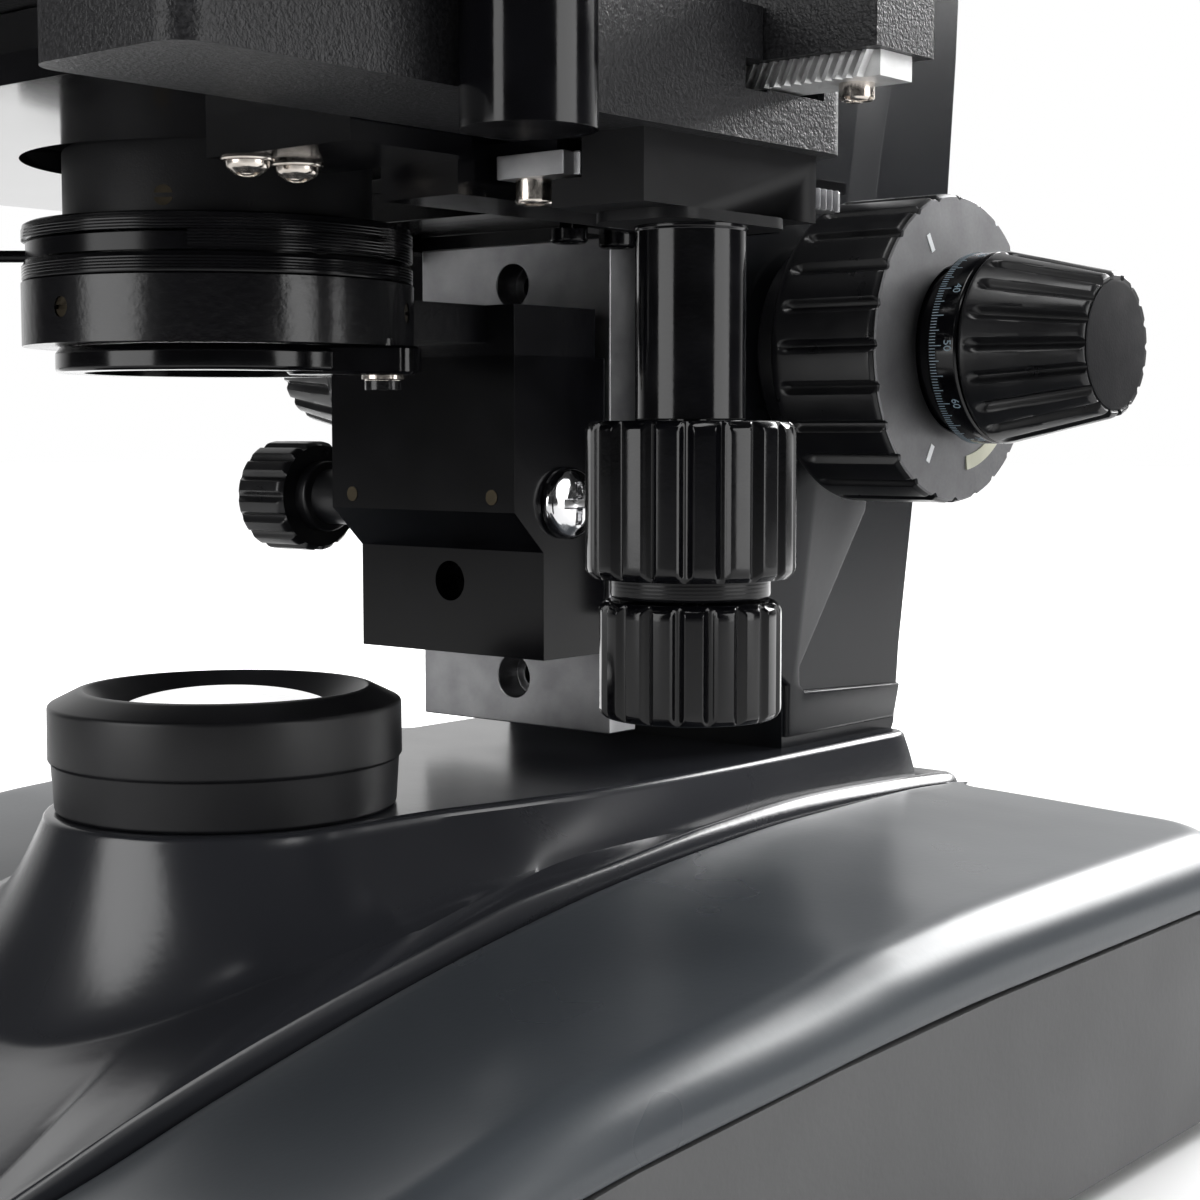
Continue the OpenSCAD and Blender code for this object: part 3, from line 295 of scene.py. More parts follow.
def smooth_path(points, x):
    """Value at x of a monotone cubic through sorted (x, value) points."""
    if x <= points[0][0]:
        return points[0][1]
    if x >= points[-1][0]:
        return points[-1][1]
    i = max(k for k in range(len(points) - 1) if points[k][0] <= x)
    x0, y0 = points[i]
    x1, y1 = points[i + 1]
    step = (y1 - y0) / (x1 - x0)
    before = (y0 - points[i - 1][1]) / (x0 - points[i - 1][0]) if i > 0 else step
    after = (points[i + 2][1] - y1) / (points[i + 2][0] - x1) if i + 2 < len(points) else step
    m0 = 0 if before * step <= 0 else 2 * before * step / (before + step)
    m1 = 0 if after * step <= 0 else 2 * after * step / (after + step)
    t = (x - x0) / (x1 - x0)
    h = x1 - x0
    return (y0 * (2 * t ** 3 - 3 * t ** 2 + 1) + y1 * (3 * t ** 2 - 2 * t ** 3)
            + h * m0 * (t ** 3 - 2 * t ** 2 + t) + h * m1 * (t ** 3 - t ** 2))


def mix(a, b, t):
    """The value a share t of the way from a to b."""
    return a + (b - a) * t


def ease(t):
    """0 to 1 with flat ends."""
    t = min(max(t, 0.0), 1.0)
    return t * t * (3 - 2 * t)


def skin(name, rows, body, look, closed=False, cap_first=False, sharp=35, flip=False,
         solid=False):
    """A surface through rows of points in millimetres, joined row to row."""
    mesh = bpy.data.meshes.new(name)
    width = len(rows[0])
    points = [tuple(c * MM for c in p) for row in rows for p in row]
    faces = []
    for r in range(len(rows) - 1 + (1 if closed else 0)):
        a, b = r * width, (r + 1) % len(rows) * width
        for c in range(width - 1):
            faces.append((a + c, a + c + 1, b + c + 1, b + c))
    if cap_first:
        faces.append([r * width for r in range(len(rows))][::-1])
    if flip:
        faces = [tuple(reversed(f)) for f in faces]
    mesh.from_pydata(points, [], faces)
    bm = bmesh.new()
    bm.from_mesh(mesh)
    bmesh.ops.remove_doubles(bm, verts=bm.verts, dist=0.00001)
    if solid:
        bmesh.ops.holes_fill(bm, edges=bm.edges, sides=0)
        bmesh.ops.recalc_face_normals(bm, faces=bm.faces)
    bm.to_mesh(mesh)
    bm.free()
    mesh.polygons.foreach_set("use_smooth", [True] * len(mesh.polygons))
    mesh.set_sharp_from_angle(angle=math.radians(sharp))
    obj = linked(name, mesh)
    dress(obj, look)
    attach(obj, body)
    return obj


# ---------- base ----------

BASE_X, BASE_FRONT, BASE_BACK = 105.0, -97.0, 145.0
SEAM_X = 45.0
WING_EDGE = SEAM_X + 0.45  # inner edge of a side cover
HUMP_EDGE = SEAM_X - 0.3  # outer edge of the centre cover
# heights along Y: a side cover at the seam and near its outer edge, the long seam, the bead, the crease
WING_INNER = [(-97, 26.2), (-90, 26.4), (-80, 26.7), (-70, 27.6), (-61, 29.4), (-41.5, 34.4), (-25, 38.2),
              (-7, 42.0), (13, 45.5), (35, 48.5), (60, 50.7), (88, 52.0), (120, 52.2), (135, 51.6),
              (145, 50.8)]
WING_OUTER = [(-97, 27), (-76, 35.5), (-50, 42), (-30, 44.9), (8, 46.9), (31, 49), (58, 49.9), (145, 49.3)]
WING_SEAM = [(-97, 26), (-60, 32.5), (-32, 35.2), (-19, 36), (1, 36.9), (23, 38), (49, 38.6), (145, 38.5)]
BEAD_TOP = [(-97, 18.6), (-90, 22.2), (-76, 28.0), (-66, 31.2), (-54, 34.9), (-31, 40.6), (-5, 45.7),
            (16, 49.3), (39, 51.3), (64, 53.4), (92, 54.4), (124, 53.6), (145, 52.4)]
CREASE_Z = [(-42, 33.0), (-37, 36.6), (-29.8, 40.6), (-19, 45.0), (0, 48.6), (20, 51.9), (43, 54.2),
            (69, 54.6), (98, 55.0), (145, 53.0)]
WING_SPAN = 56  # across a side cover, from the seam to where its outer height holds
RIM_R, BACK_R, FRONT_R = 9.0, 18.0, 42.0  # the side cover's rounded rim and its two corners
WING_STATIONS, RIM_STEPS, TOP_STEPS, EDGE_STEPS = 220, 12, 24, 5
EDGE_FLAT = SEAM_X + 1.6  # where a side cover's top turns down into its inner edge
INNER_WALL = 6


def corner(cx, cy, r, a0, a1, n):
    """Points of an arc, from angle a0 to a1 in degrees."""
    steps = [math.radians(a0 + (a1 - a0) * i / n) for i in range(n + 1)]
    return [(cx + r * math.cos(a), cy + r * math.sin(a)) for a in steps]


def resample(path, n):
    """n + 1 points evenly spaced along an open 2D path."""
    lengths = [0]
    for p, q in zip(path, path[1:]):
        lengths.append(lengths[-1] + math.dist(p, q))
    out = []
    k = 0
    for i in range(n + 1):
        want = lengths[-1] * i / n
        while k < len(path) - 2 and lengths[k + 1] < want:
            k += 1
        t = (want - lengths[k]) / max(lengths[k + 1] - lengths[k], 1e-9)
        out.append(tuple(mix(a, b, min(t, 1)) for a, b in zip(path[k], path[k + 1])))
    return out


def wing_height(x, y):
    """Top of a side cover."""
    t = min(max((abs(x) - SEAM_X) / WING_SPAN, 0), 1)
    share = 0.5 * ease(t) + 0.5 * t
    return mix(smooth_path(WING_INNER, y), smooth_path(WING_OUTER, y), share)


def side_cover(side):
    """One side cover as a shell, from under its outer rim over the top and down at the seam."""
    path = ([(WING_EDGE, BASE_FRONT)]
            + corner(BASE_X - FRONT_R, BASE_FRONT + FRONT_R, FRONT_R, -90, 0, 24)
            + corner(BASE_X - BACK_R, BASE_BACK - BACK_R, BACK_R, 0, 90, 16)
            + [(WING_EDGE, BASE_BACK)])
    outer = resample(path, WING_STATIONS)
    rows = []
    for i, (x, y) in enumerate(outer):
        px, py = outer[max(i - 1, 0)]
        qx, qy = outer[min(i + 1, len(outer) - 1)]
        length = math.hypot(qx - px, qy - py)
        nx, ny = -(qy - py) / length, (qx - px) / length
        inner_y = mix(BASE_FRONT + 1.2, BASE_BACK - 1.2, i / (len(outer) - 1))
        seam = smooth_path(WING_SEAM, y) + 0.5
        top = wing_height(x, y)
        low = min(RIM_R, top - seam - 0.8)
        row = [(x + nx * 2.6, y + ny * 2.6, seam - 0.2), (x + nx * 1.0, y + ny * 1.0, seam - 0.2),
               (x + nx * 0.3, y + ny * 0.3, seam), (x, y, seam + 0.7)]
        for k in range(RIM_STEPS + 1):
            a = math.pi / 2 * k / RIM_STEPS
            d = RIM_R * (1 - math.cos(a))
            ex, ey = max(x + nx * d, WING_EDGE), y + ny * d
            row.append((ex, ey, wing_height(ex, ey) - low * (1 - math.sin(a))))
        ex, ey, _ = row[-1]
        for k in range(1, TOP_STEPS + 1):
            t = k / TOP_STEPS
            fx, fy = mix(ex, EDGE_FLAT, t), mix(ey, inner_y, t)
            row.append((fx, fy, wing_height(fx, fy)))
        edge_z = wing_height(SEAM_X, inner_y)
        for k in range(1, EDGE_STEPS + 1):
            a = math.pi / 2 * k / EDGE_STEPS
            row.append((EDGE_FLAT - 1.15 * math.sin(a), inner_y, edge_z - 1.3 * (1 - math.cos(a))))
        row.append((WING_EDGE, inner_y, edge_z - INNER_WALL))
        rows.append([(side * px, py, pz) for px, py, pz in row])
    hand = "right" if side > 0 else "left"
    made = skin("side_cover_shell_" + hand, rows, "stand", "grey_paint", flip=side < 0)
    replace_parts(made, "side_cover_" + hand)


side_cover(1)
side_cover(-1)

DECK = 61.0
DECK_HALF = [(0, 27.5), (15, 29.2), (32, 33.0), (49, 36.0), (70, 37.6), (90, 38.1), (130, 38.3)]
DECK_EDGE_R = 1.3
NOSE_DECK_R, NOSE_CREASE_R = 27.5, 41.6  # the nose round the field lens
BEAD_R = 2.7
BEAD_DROP = 3.2
FRONT_CREST = (17.2, 18.6)  # the bead's height along the front, at the middle and at the seam
FRONT_LOW, BACK_LOW, SIDE_DROP = 16.3, 38.8, 6  # foot of the outer wall; at the sides below its lip
STATIONS = 130  # round half the cover
BACK_SHARE, SIDE_SHARE = 0.16, 0.60  # where the back and then the side end along the stations
BACK_STEPS, FRONT_STEPS = 20, 52
FLANK_STEPS, RISE_STEPS, ROLL_STEPS = 16, 14, 8


def cover_stations():
    """Matching points on deck edge, crease and outer edge, from the back round the right to the front."""
    stations = []
    back = [resample([(0, 136.0)] + corner(34.2, 132.0, 4, 90, 0, 6), BACK_STEPS),
            resample([(0, 138.8)] + corner(35.2, 134.0, 4.4, 90, 0, 6), BACK_STEPS),
            resample([(0, BASE_BACK), (SEAM_X - 2, BASE_BACK), (HUMP_EDGE, BASE_BACK - 2),
                      (HUMP_EDGE, 134.0)], BACK_STEPS)]
    front = resample([(HUMP_EDGE, -14.0), (HUMP_EDGE, BASE_FRONT + 2), (SEAM_X - 2, BASE_FRONT),
                      (0, BASE_FRONT)], FRONT_STEPS)
    for i in range(STATIONS + 1):
        u = i / STATIONS
        if u < BACK_SHARE:
            k = round(u / BACK_SHARE * BACK_STEPS)
            stations.append([line[k] for line in back])
        elif u < SIDE_SHARE:
            t = (u - BACK_SHARE) / (SIDE_SHARE - BACK_SHARE)
            y = mix(132.0, 0.0, t)
            stations.append([(smooth_path(DECK_HALF, y), y),
                             (mix(39.6, 39.2, t) + (2.4 * max(0, 1 - y / 30)), y),
                             (HUMP_EDGE, mix(134.0, -14.0, t))])
        else:
            t = (u - SIDE_SHARE) / (1 - SIDE_SHARE)
            a = math.radians(90 * t)
            stations.append([(r * math.cos(a), -r * math.sin(a)) for r in (NOSE_DECK_R, NOSE_CREASE_R)]
                            + [front[round(t * FRONT_STEPS)]])
    return stations


def centre_cover():
    """The black cover between the side covers: deck, flank down to the crease, and the bead outside it."""
    rows = []
    for (dx, dy), (cx, cy), (rx, ry) in cover_stations():
        row = []
        span = math.dist((cx, cy), (rx, ry))
        open_side = ease((span - 5.5) / 12)
        foot = smooth_path(CREASE_Z, cy) - mix(2.4, 0.5, open_side)
        out = Vector((cx - dx, cy - dy))
        reach = out.length
        out.normalize()
        for k in range(5):
            a = math.pi / 2 * k / 4
            back = DECK_EDGE_R * (1 - math.sin(a))
            row.append((dx - out.x * back, dy - out.y * back, DECK - DECK_EDGE_R * (1 - math.cos(a)) * 0.8))
        start = row[-1][2]
        for k in range(1, FLANK_STEPS + 1):
            t = k / FLANK_STEPS
            fall = (1 - t) ** mix(0.75, 1.5, ease((reach - 6.5) / 7))
            row.append((mix(dx, cx, t), mix(dy, cy, t), mix(foot, start, fall)))
        at_front = ry < BASE_FRONT + 4
        crest = mix(*FRONT_CREST, abs(rx) / SEAM_X) if at_front else smooth_path(BEAD_TOP, ry)
        flat_part = span - BEAD_R
        for k in range(1, RISE_STEPS + ROLL_STEPS + 1):
            if k <= RISE_STEPS:
                t = k / RISE_STEPS
                g = flat_part * t
                z = mix(foot, crest, mix(math.sin(math.pi / 2 * t), t, open_side))
            else:
                u = math.sin(math.pi / 2 * (k - RISE_STEPS) / ROLL_STEPS)
                g = flat_part + BEAD_R * u
                z = crest - BEAD_DROP * (1 - math.sqrt(max(1 - u * u, 0)))
            row.append((mix(cx, rx, g / span), mix(cy, ry, g / span), z))
        lip = row[-1][2]
        if at_front:
            low_end = FRONT_LOW
        else:
            low_end = BACK_LOW if ry > BASE_BACK - 4 else lip - SIDE_DROP
        row.append((rx, ry, min(lip - 0.6, low_end + 3)))
        row.append((rx, ry, min(lip - 1.2, low_end)))
        rows.append(row)
    mirrored = [[(-x, y, z) for x, y, z in row] for row in rows[1:-1][::-1]]
    made = skin("centre_cover_shell", rows + mirrored, "stand", "hump_paint", closed=True, cap_first=True,
                sharp=28)
    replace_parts(made, "centre_cover")


centre_cover()

# ---------- turned and pressed pieces ----------

LATHE_STEPS = 128
GROOVE_POWER = 0.7  # below 1 a groove's floor is wide and its walls are steep
# across a groove, in half widths of it
GROOVE_SAMPLES = [-1.1, -0.98, -0.85, -0.7, -0.5, -0.25, 0, 0.25, 0.5, 0.7, 0.85, 0.98, 1.1]
TOOTH_STEEPNESS = 1.4


def rounded(points, steps=4):
    """A 2D path with its corners rounded: each point is (a, b) or (a, b, corner radius)."""
    out = []
    for i, point in enumerate(points):
        if len(point) == 2 or i in (0, len(points) - 1):
            out.append(tuple(point[:2]))
            continue
        here = Vector(point[:2])
        before = Vector(points[i - 1][:2]) - here
        after = Vector(points[i + 1][:2]) - here
        cut = min(point[2], before.length * 0.48, after.length * 0.48)
        a = here + before.normalized() * cut
        b = here + after.normalized() * cut
        for k in range(steps + 1):
            t = k / steps
            out.append(tuple((1 - t) ** 2 * a + 2 * t * (1 - t) * here + t * t * b))
    return out


def fine(path, step):
    """The same path with extra points, so that none of its segments is longer than step."""
    out = [path[0]]
    for p, q in zip(path, path[1:]):
        parts = max(1, math.ceil(math.dist(p, q) / step))
        out += [tuple(mix(u, v, k / parts) for u, v in zip(p, q)) for k in range(1, parts + 1)]
    return out


def upright(x, y):
    """Places lathe coordinates about a vertical axis."""
    return lambda u, v, h: (x + u, y + v, h)


def crosswise(y, z, side=1):
    """Places lathe coordinates about an axis along X; heights are distances from the middle plane."""
    return lambda u, v, h: (side * h, y + u, z + v)


def downward(x, y):
    """Places lathe coordinates about a vertical axis, with heights measured down."""
    return lambda u, v, h: (x + u, y - v, -h)


def turned(name, profile, place, body, look, cut=None, angles=None, loop=False, sharp=32):
    """A lathe piece: a profile of (radius, height) points swept about an axis, with an optional cut."""
    outline = profile + profile[:1] if loop else profile
    rows = []
    for a in angles or [360 * i / LATHE_STEPS for i in range(LATHE_STEPS)]:
        c, s = math.cos(math.radians(a)), math.sin(math.radians(a))
        row = []
        for r, h in outline:
            if cut:
                r, h = cut(r, h, a)
            row.append(place(r * c, r * s, h))
        rows.append(row)
    return skin(name, rows, body, look, closed=True, sharp=sharp, solid=True)


def swept(name, loops, body, look, sharp=32):
    """A solid through closed loops of points, with both ends filled."""
    return skin(name, [loop + loop[:1] for loop in loops], body, look, sharp=sharp, solid=True)


def grooves(count, half, depth, reach, outer, phase=0.0):
    """Cuts round grooves with rounded ends along a lathe piece, half wide each side of their middle."""
    pitch = 360 / count

    def cut(r, h, a):
        full = outer(h) if callable(outer) else outer
        turn = (a - phase + pitch / 2) % pitch - pitch / 2
        over = max(reach[0] - h, h - reach[1], 0)
        d = math.hypot(math.radians(turn) * full, over) / half
        if d >= 1:
            return r, h
        return min(r, full - depth * (0.5 + 0.5 * math.cos(math.pi * d)) ** GROOVE_POWER), h
    return cut


def groove_angles(count, half, outer, phase=0.0):
    """Angles that sample each groove finely and the land between them coarsely."""
    lip = math.degrees(half / outer)
    last = GROOVE_SAMPLES[-1] * lip
    gap = 360 / count - 2 * last
    out = []
    for i in range(count):
        base = phase + i * 360 / count
        out += [base + n * lip for n in GROOVE_SAMPLES] + [base + last + gap * k / 4 for k in (1, 2, 3)]
    return out


def toothed(count, root, low, high, otherwise=None):
    """Cuts gear teeth between two heights of a lathe piece."""
    def cut(r, h, a):
        if low <= h <= high and r > root:
            return mix(root, r, ease(0.5 + TOOTH_STEEPNESS * math.sin(math.radians(a * count)))), h
        return otherwise(r, h, a) if otherwise else (r, h)
    return cut


def sector(name, r0, r1, h0, h1, a0, a1, place, body, look):
    """Part of a flat ring, between two angles."""
    loops = []
    steps = max(2, round(abs(a1 - a0) / 3))
    for i in range(steps + 1):
        a = math.radians(mix(a0, a1, i / steps))
        loops.append([place(r * math.cos(a), r * math.sin(a), h)
                      for r, h in ((r0, h0), (r1, h0), (r1, h1), (r0, h1))])
    return swept(name, loops, body, look)


def prism(name, outline, low, high, place, body, look, edge=0.3):
    """A plate with that outline and slightly bevelled edges."""
    middle = Vector((sum(p[0] for p in outline) / len(outline), sum(p[1] for p in outline) / len(outline)))
    tight = []
    for p in outline:
        away = Vector(p) - middle
        tight.append(tuple(middle + away * (1 - edge / max(away.length, edge * 2))))
    span = high - low
    lift = min(edge, abs(span) * 0.45) * (1 if span > 0 else -1)
    loops = [[place(u, v, h) for u, v in shape]
             for shape, h in ((tight, low), (outline, low + lift), (outline, high - lift), (tight, high))]
    return swept(name, loops, body, look)


# field lens and its ring
LIGHT_AXIS = upright(0, 0)
ring_path = rounded([(17.6, 71.2), (17.2, 71.2), (17.2, 75.0, 0.3), (18.4, 76.2, 1.2), (20.8, 78.6, 1.0),
                     (21.4, 79.2, 0.3), (22.3, 79.05, 0.4), (26.6, 76.9, 0.5), (26.65, 68.8, 0.25),
                     (26.2, 68.4, 0.15), (25.75, 61.4, 0.3), (25.1, 61.0, 0.2), (18.8, 61.0), (18.8, 54),
                     (17.6, 54)])
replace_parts(turned("field_ring_turned", ring_path, LIGHT_AXIS, "stand", "ring_black",
                   loop=True), "field_lens_ring")
DOME_R, DOME_FOOT, DOME_RISE = 16.95, 74.8, 4.0
dome = [(0, 71.7), (16.9, 71.7), (DOME_R, 74.7)]
dome += [(DOME_R * math.cos(a), DOME_FOOT + DOME_RISE * math.sin(a))
         for a in [math.radians(6 * k) for k in range(1, 16)]]
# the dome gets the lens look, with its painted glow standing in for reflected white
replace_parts(turned("field_lens_dome", dome, LIGHT_AXIS, "stand", "frosted"), "field_lens")

# stage control knobs
CONTROL = upright(78, 14.4)
y_path = [(2.1, 98.5)] + fine(rounded([(13.0, 98.5, 0.4), (14, 99.4, 0.5), (14, 118.3, 0.6),
                                       (13.0, 119.2, 0.4), (3.0, 119.2)]), 0.6)
y_path += [(3.0, 150.2), (5.0, 150.2), (5.0, 152.8), (2.1, 152.8)]
y_cut = toothed(20, 4.0, 150.1, 152.9, grooves(18, 1.15, 0.95, (90, 125), 14, 5))
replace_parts(turned("y_knob_moulded", y_path, CONTROL, "y_control", "gloss_black", cut=y_cut, loop=True,
                   angles=groove_angles(18, 1.15, 14, 5)), "y_knob")
collar = rounded([(2.1, 95.8), (10.4, 95.8, 0.2), (10.7, 96.2, 0.2), (10.7, 98.5), (2.1, 98.5)])
turned("y_knob_collar", collar, CONTROL, "y_control", "turned_black", loop=True)
x_path = fine(rounded([(0, 79.8), (11.3, 79.8, 0.5), (12.2, 80.7, 0.5), (12.2, 94.6, 0.6), (11.2, 95.5, 0.4),
                       (1.8, 95.5)]), 0.6) + [(1.8, 162.2), (5.0, 162.2), (5.0, 164.9), (0, 164.9)]
x_cut = toothed(20, 4.0, 162.1, 165, grooves(18, 1.05, 0.85, (70, 100), 12.2, 0))
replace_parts(turned("x_knob_moulded", x_path, CONTROL, "x_control", "gloss_black", cut=x_cut,
                   angles=groove_angles(18, 1.05, 12.2)), "x_knob")
sleeve = rounded([(7.0, 119.5), (7.25, 119.5), (7.25, 143.9, 0.1), (7.5, 144.1, 0.1), (7.5, 144.55),
                  (7.0, 144.55)])
turned("control_tube_sleeve", sleeve, CONTROL, "stage_y", "gloss_black", loop=True)

# coarse and fine focus knobs, on both sides
FOCUS_Y, FOCUS_Z = 106.0, 131.6
COARSE_R = 26
COARSE_GROOVES = grooves(24, 1.25, 1.05, (47.2, 80), COARSE_R)
COARSE_ANGLES = groove_angles(24, 1.25, COARSE_R)
DRUM_R = 15.9
TICKS, NUMBERS = 200, 10
PRINT_UNDER, PRINT_OVER = 0.05, 0.03  # a printed mark reaches this far into and out of its drum
CONE_START, CONE_LENGTH = 73.4, 20.2
CONE_BACK_R, CONE_TAPER = 16.1, 4.5


def fine_radius(h):
    """Radius of the tapered fine knob at a height along its axis."""
    return CONE_BACK_R - CONE_TAPER * (h - CONE_START) / CONE_LENGTH


def tick(place, angle, h0, h1, half_width, radius):
    """A printed line along the axis of a drum, as a thin raised strip."""
    loops = []
    for h in (h0, h1):
        loop = []
        low, top = radius - PRINT_UNDER, radius + PRINT_OVER
        for r, turn in ((low, -1), (top, -1), (top, 1), (low, 1)):
            a = math.radians(angle) + turn * half_width / radius
            loop.append(place(r * math.cos(a), r * math.sin(a), h))
        loops.append(loop)
    return loops


def joined(name, many, body, look):
    """One piece from many small solids, each given as its loops of points."""
    mesh = bpy.data.meshes.new(name)
    points, faces = [], []
    for loops in many:
        width = len(loops[0])
        base = len(points)
        points += [tuple(c * MM for c in p) for loop in loops for p in loop]
        for r in range(len(loops) - 1):
            for c in range(width):
                d = (c + 1) % width
                faces.append((base + r * width + c, base + r * width + d, base + (r + 1) * width + d,
                              base + (r + 1) * width + c))
        faces.append(tuple(range(base, base + width))[::-1])
        faces.append(tuple(range(base + (len(loops) - 1) * width, base + len(loops) * width)))
    mesh.from_pydata(points, [], faces)
    bm = bmesh.new()
    bm.from_mesh(mesh)
    bmesh.ops.recalc_face_normals(bm, faces=bm.faces)
    bm.to_mesh(mesh)
    bm.free()
    obj = linked(name, mesh)
    dress(obj, look)
    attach(obj, body)
    return obj


def numeral(text, place, angle, h, size, radius):
    """The faces of a number printed on a drum, read along the drum's axis, as small solids."""
    curve = bpy.data.curves.new("numeral", "FONT")
    curve.body = text
    curve.size = size
    curve.align_x = "CENTER"
    curve.align_y = "CENTER"
    holder = linked("numeral", curve)
    mesh = bpy.data.meshes.new_from_object(holder.evaluated_get(bpy.context.evaluated_depsgraph_get()))
    solids = []
    for polygon in mesh.polygons:
        loops = []
        for r in (radius - PRINT_UNDER, radius + PRINT_OVER):
            loop = []
            for index in polygon.vertices:
                x, y, _ = mesh.vertices[index].co
                a = math.radians(angle) + x / radius
                loop.append(place(r * math.cos(a), r * math.sin(a), h + y))
            loops.append(loop)
        solids.append(loops)
    bpy.data.objects.remove(holder)
    bpy.data.curves.remove(curve)
    bpy.data.meshes.remove(mesh)
    return solids


for side, hand in ((1, "right"), (-1, "left")):
    axle = crosswise(FOCUS_Y, FOCUS_Z, side)
    barrel = [(5.2, 36.2)] + fine(rounded([(18.6, 36.2, 0.3), (19, 36.7), (19, 43.4), (24.8, 43.4, 0.6),
                                           (COARSE_R, 44.8, 0.9), (COARSE_R, 63.3, 0.3), (25.5, 63.9)]), 0.7)
    barrel += [(17.7, 63.9), (17.7, 61.4), (5.2, 61.4)]
    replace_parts(turned("coarse_barrel_" + hand, barrel, axle, "coarse_focus", "matt_black",
                       cut=COARSE_GROOVES, angles=COARSE_ANGLES, loop=True), "coarse_knob_" + hand)
    face = rounded([(14.0, 63.95), (25.45, 63.95), (25.7, 64.2), (25.4, 64.45), (20.4, 64.7, 0.5),
                    (14.3, 65.0), (14.0, 64.8)])
    turned("coarse_face_" + hand, face, axle, "coarse_focus", "face_grey",
           cut=COARSE_GROOVES, angles=COARSE_ANGLES, loop=True)
    marks = []
    for angle in (119, -117):
        a = math.radians(angle)
        out, across = (math.cos(a), math.sin(a)), (-math.sin(a), math.cos(a))
        loops = []
        for r, low, top in ((18.1, 64.5, 64.9), (20.4, 64.4, 64.78), (21.2, 64.4, 64.76)):
            loops.append([axle(out[0] * r + across[0] * w, out[1] * r + across[1] * w, h)
                          for w, h in ((-0.55, low), (0.55, low), (0.55, top), (-0.55, top))])
        marks.append(loops)
    joined("coarse_marks_" + hand, marks, "coarse_focus", "marking")
    # a raised cream-coloured sector on the face, at the foot of the drum
    sector("coarse_cream_sector_" + hand, 18.2, 20.6, 64.5, 65.0, -82, -50, axle, "coarse_focus", "cream")
    drum = rounded([(3.2, 61.8), (13.6, 61.8), (13.6, 67.9), (15.5, 67.9, 0.3), (DRUM_R, 68.3),
                    (DRUM_R, 73.0, 0.2), (15.5, 73.3), (3.2, 73.3)])
    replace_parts(turned("scale_drum_" + hand, drum, axle, "fine_focus", "gloss_black", loop=True),
                "fine_scale_drum")
    scale = []
    for i in range(TICKS):
        length = 2.2 if i % 10 == 0 else (1.7 if i % 5 == 0 else 1.1)
        scale.append(tick(axle, 360 / TICKS * i, 68.5, 68.5 + length, 0.07, DRUM_R))
    for i in range(NUMBERS):
        scale += numeral(str(10 * i), axle, 360 / NUMBERS * i, 71.8, 1.9, DRUM_R)
    joined("scale_print_" + hand, scale, "fine_focus", "blue_marking")
    cone = [(0, CONE_START)] + fine(rounded([(15.3, CONE_START, 0.3), (fine_radius(74.0), 74.0, 0.5),
                                             (fine_radius(93.0), 93.0, 0.5), (11.0, 93.6, 0.2),
                                             (10.6, 93.4)]), 0.6) + [(0, 93.4)]
    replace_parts(turned("fine_knob_" + hand, cone, axle, "fine_focus", "matt_black",
                       cut=grooves(18, 1.25, 1.2, (76.4, 99), fine_radius),
                       angles=groove_angles(18, 1.2, 14.5)), "fine_knobs")
    end = rounded([(0, 93.3), (10.3, 93.3), (10.4, 93.55, 0.1), (9.9, 93.65), (0, 93.65)])
    turned("fine_end_" + hand, end, axle, "fine_focus", "dull_black")
shaft = rounded([(0, -69.4), (2.9, -69.4), (2.9, 69.4), (0, 69.4)])
turned("fine_shaft_bar", shaft, crosswise(FOCUS_Y, FOCUS_Z), "fine_focus", "bright_steel")


# condenser: turned barrel with its open band, sleeve, filter holder and knob
def ribbed(r, z0, z1, pitch, depth):
    """A turned wall with fine lathe ridges, from z0 up to z1."""
    count = round((z1 - z0) / pitch)
    out = []
    for k in range(count):
        base = mix(z0, z1, k / count)
        out += [(r, base + pitch * 0.1), (r, base + pitch * 0.55), (r - depth, base + pitch * 0.78)]
    return out


FLANGE_R = 28.8
RIB_PITCH, RIB_DEPTH = 0.42, 0.10
SLEEVE_FOOT = 148.4
flanges = [(15.2, 130.6), (22.6, 130.6), (22.6, 139.45), (28.4, 139.45), (28.75, 139.7)]
flanges += ribbed(FLANGE_R, 139.9, 142.0, RIB_PITCH, 0.12)
flanges += [(28.4, 142.4), (25.3, 142.4), (25.3, 145.4), (28.4, 145.4)]
flanges += ribbed(FLANGE_R, 145.5, 147.2, RIB_PITCH, RIB_DEPTH)
flanges += [(28.6, 147.7), (28.0, 148.0), (22.6, 148.0), (22.6, SLEEVE_FOOT), (15.2, SLEEVE_FOOT)]
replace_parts(turned("condenser_flanges", flanges, LIGHT_AXIS, "condenser", "turned_black",
                   loop=True, sharp=20), "condenser_barrel")
upper = rounded([(15.2, SLEEVE_FOOT), (22.8, SLEEVE_FOOT), (22.8, 158.7, 0.5), (18.2, 160.7, 0.5),
                 (17.6, 160.7), (15.2, 160.7)])
turned("condenser_sleeve", upper, LIGHT_AXIS, "condenser", "blasted_black", loop=True)
BAND_FROM, BAND_TO, BAND_STEPS = -48.6, 208, 64  # degrees round the axis; the iris lever moves in the rest
wall = [(28.3, 142.9)] + ribbed(FLANGE_R, 143.0, 145.2, RIB_PITCH, RIB_DEPTH)
wall += [(28.7, 145.38), (28.3, 145.38)]
band_loops = []
for step in range(BAND_STEPS + 1):
    a = math.radians(mix(BAND_FROM, BAND_TO, step / BAND_STEPS))
    band_loops.append([(r * math.cos(a), r * math.sin(a), z) for r, z in wall])
swept("condenser_band", band_loops, "condenser", "turned_black", sharp=20)
LUG = []
for cx, cy, r, start in ((27, 8.6, 4.8, -50), (19.2, 2.0, 4.6, 130)):
    LUG += [(cx + r * math.cos(a), cy + r * math.sin(a))
            for a in [math.radians(start + 15 * k) for k in range(13)]]
filter_path = rounded([(20.1, 126.4), (23.9, 126.4, 0.3), (24.25, 126.8, 0.2), (24.25, 129.2, 0.2),
                       (23.6, 130.05), (22.6, 130.05), (22.6, 127.6), (20.1, 127.6)])
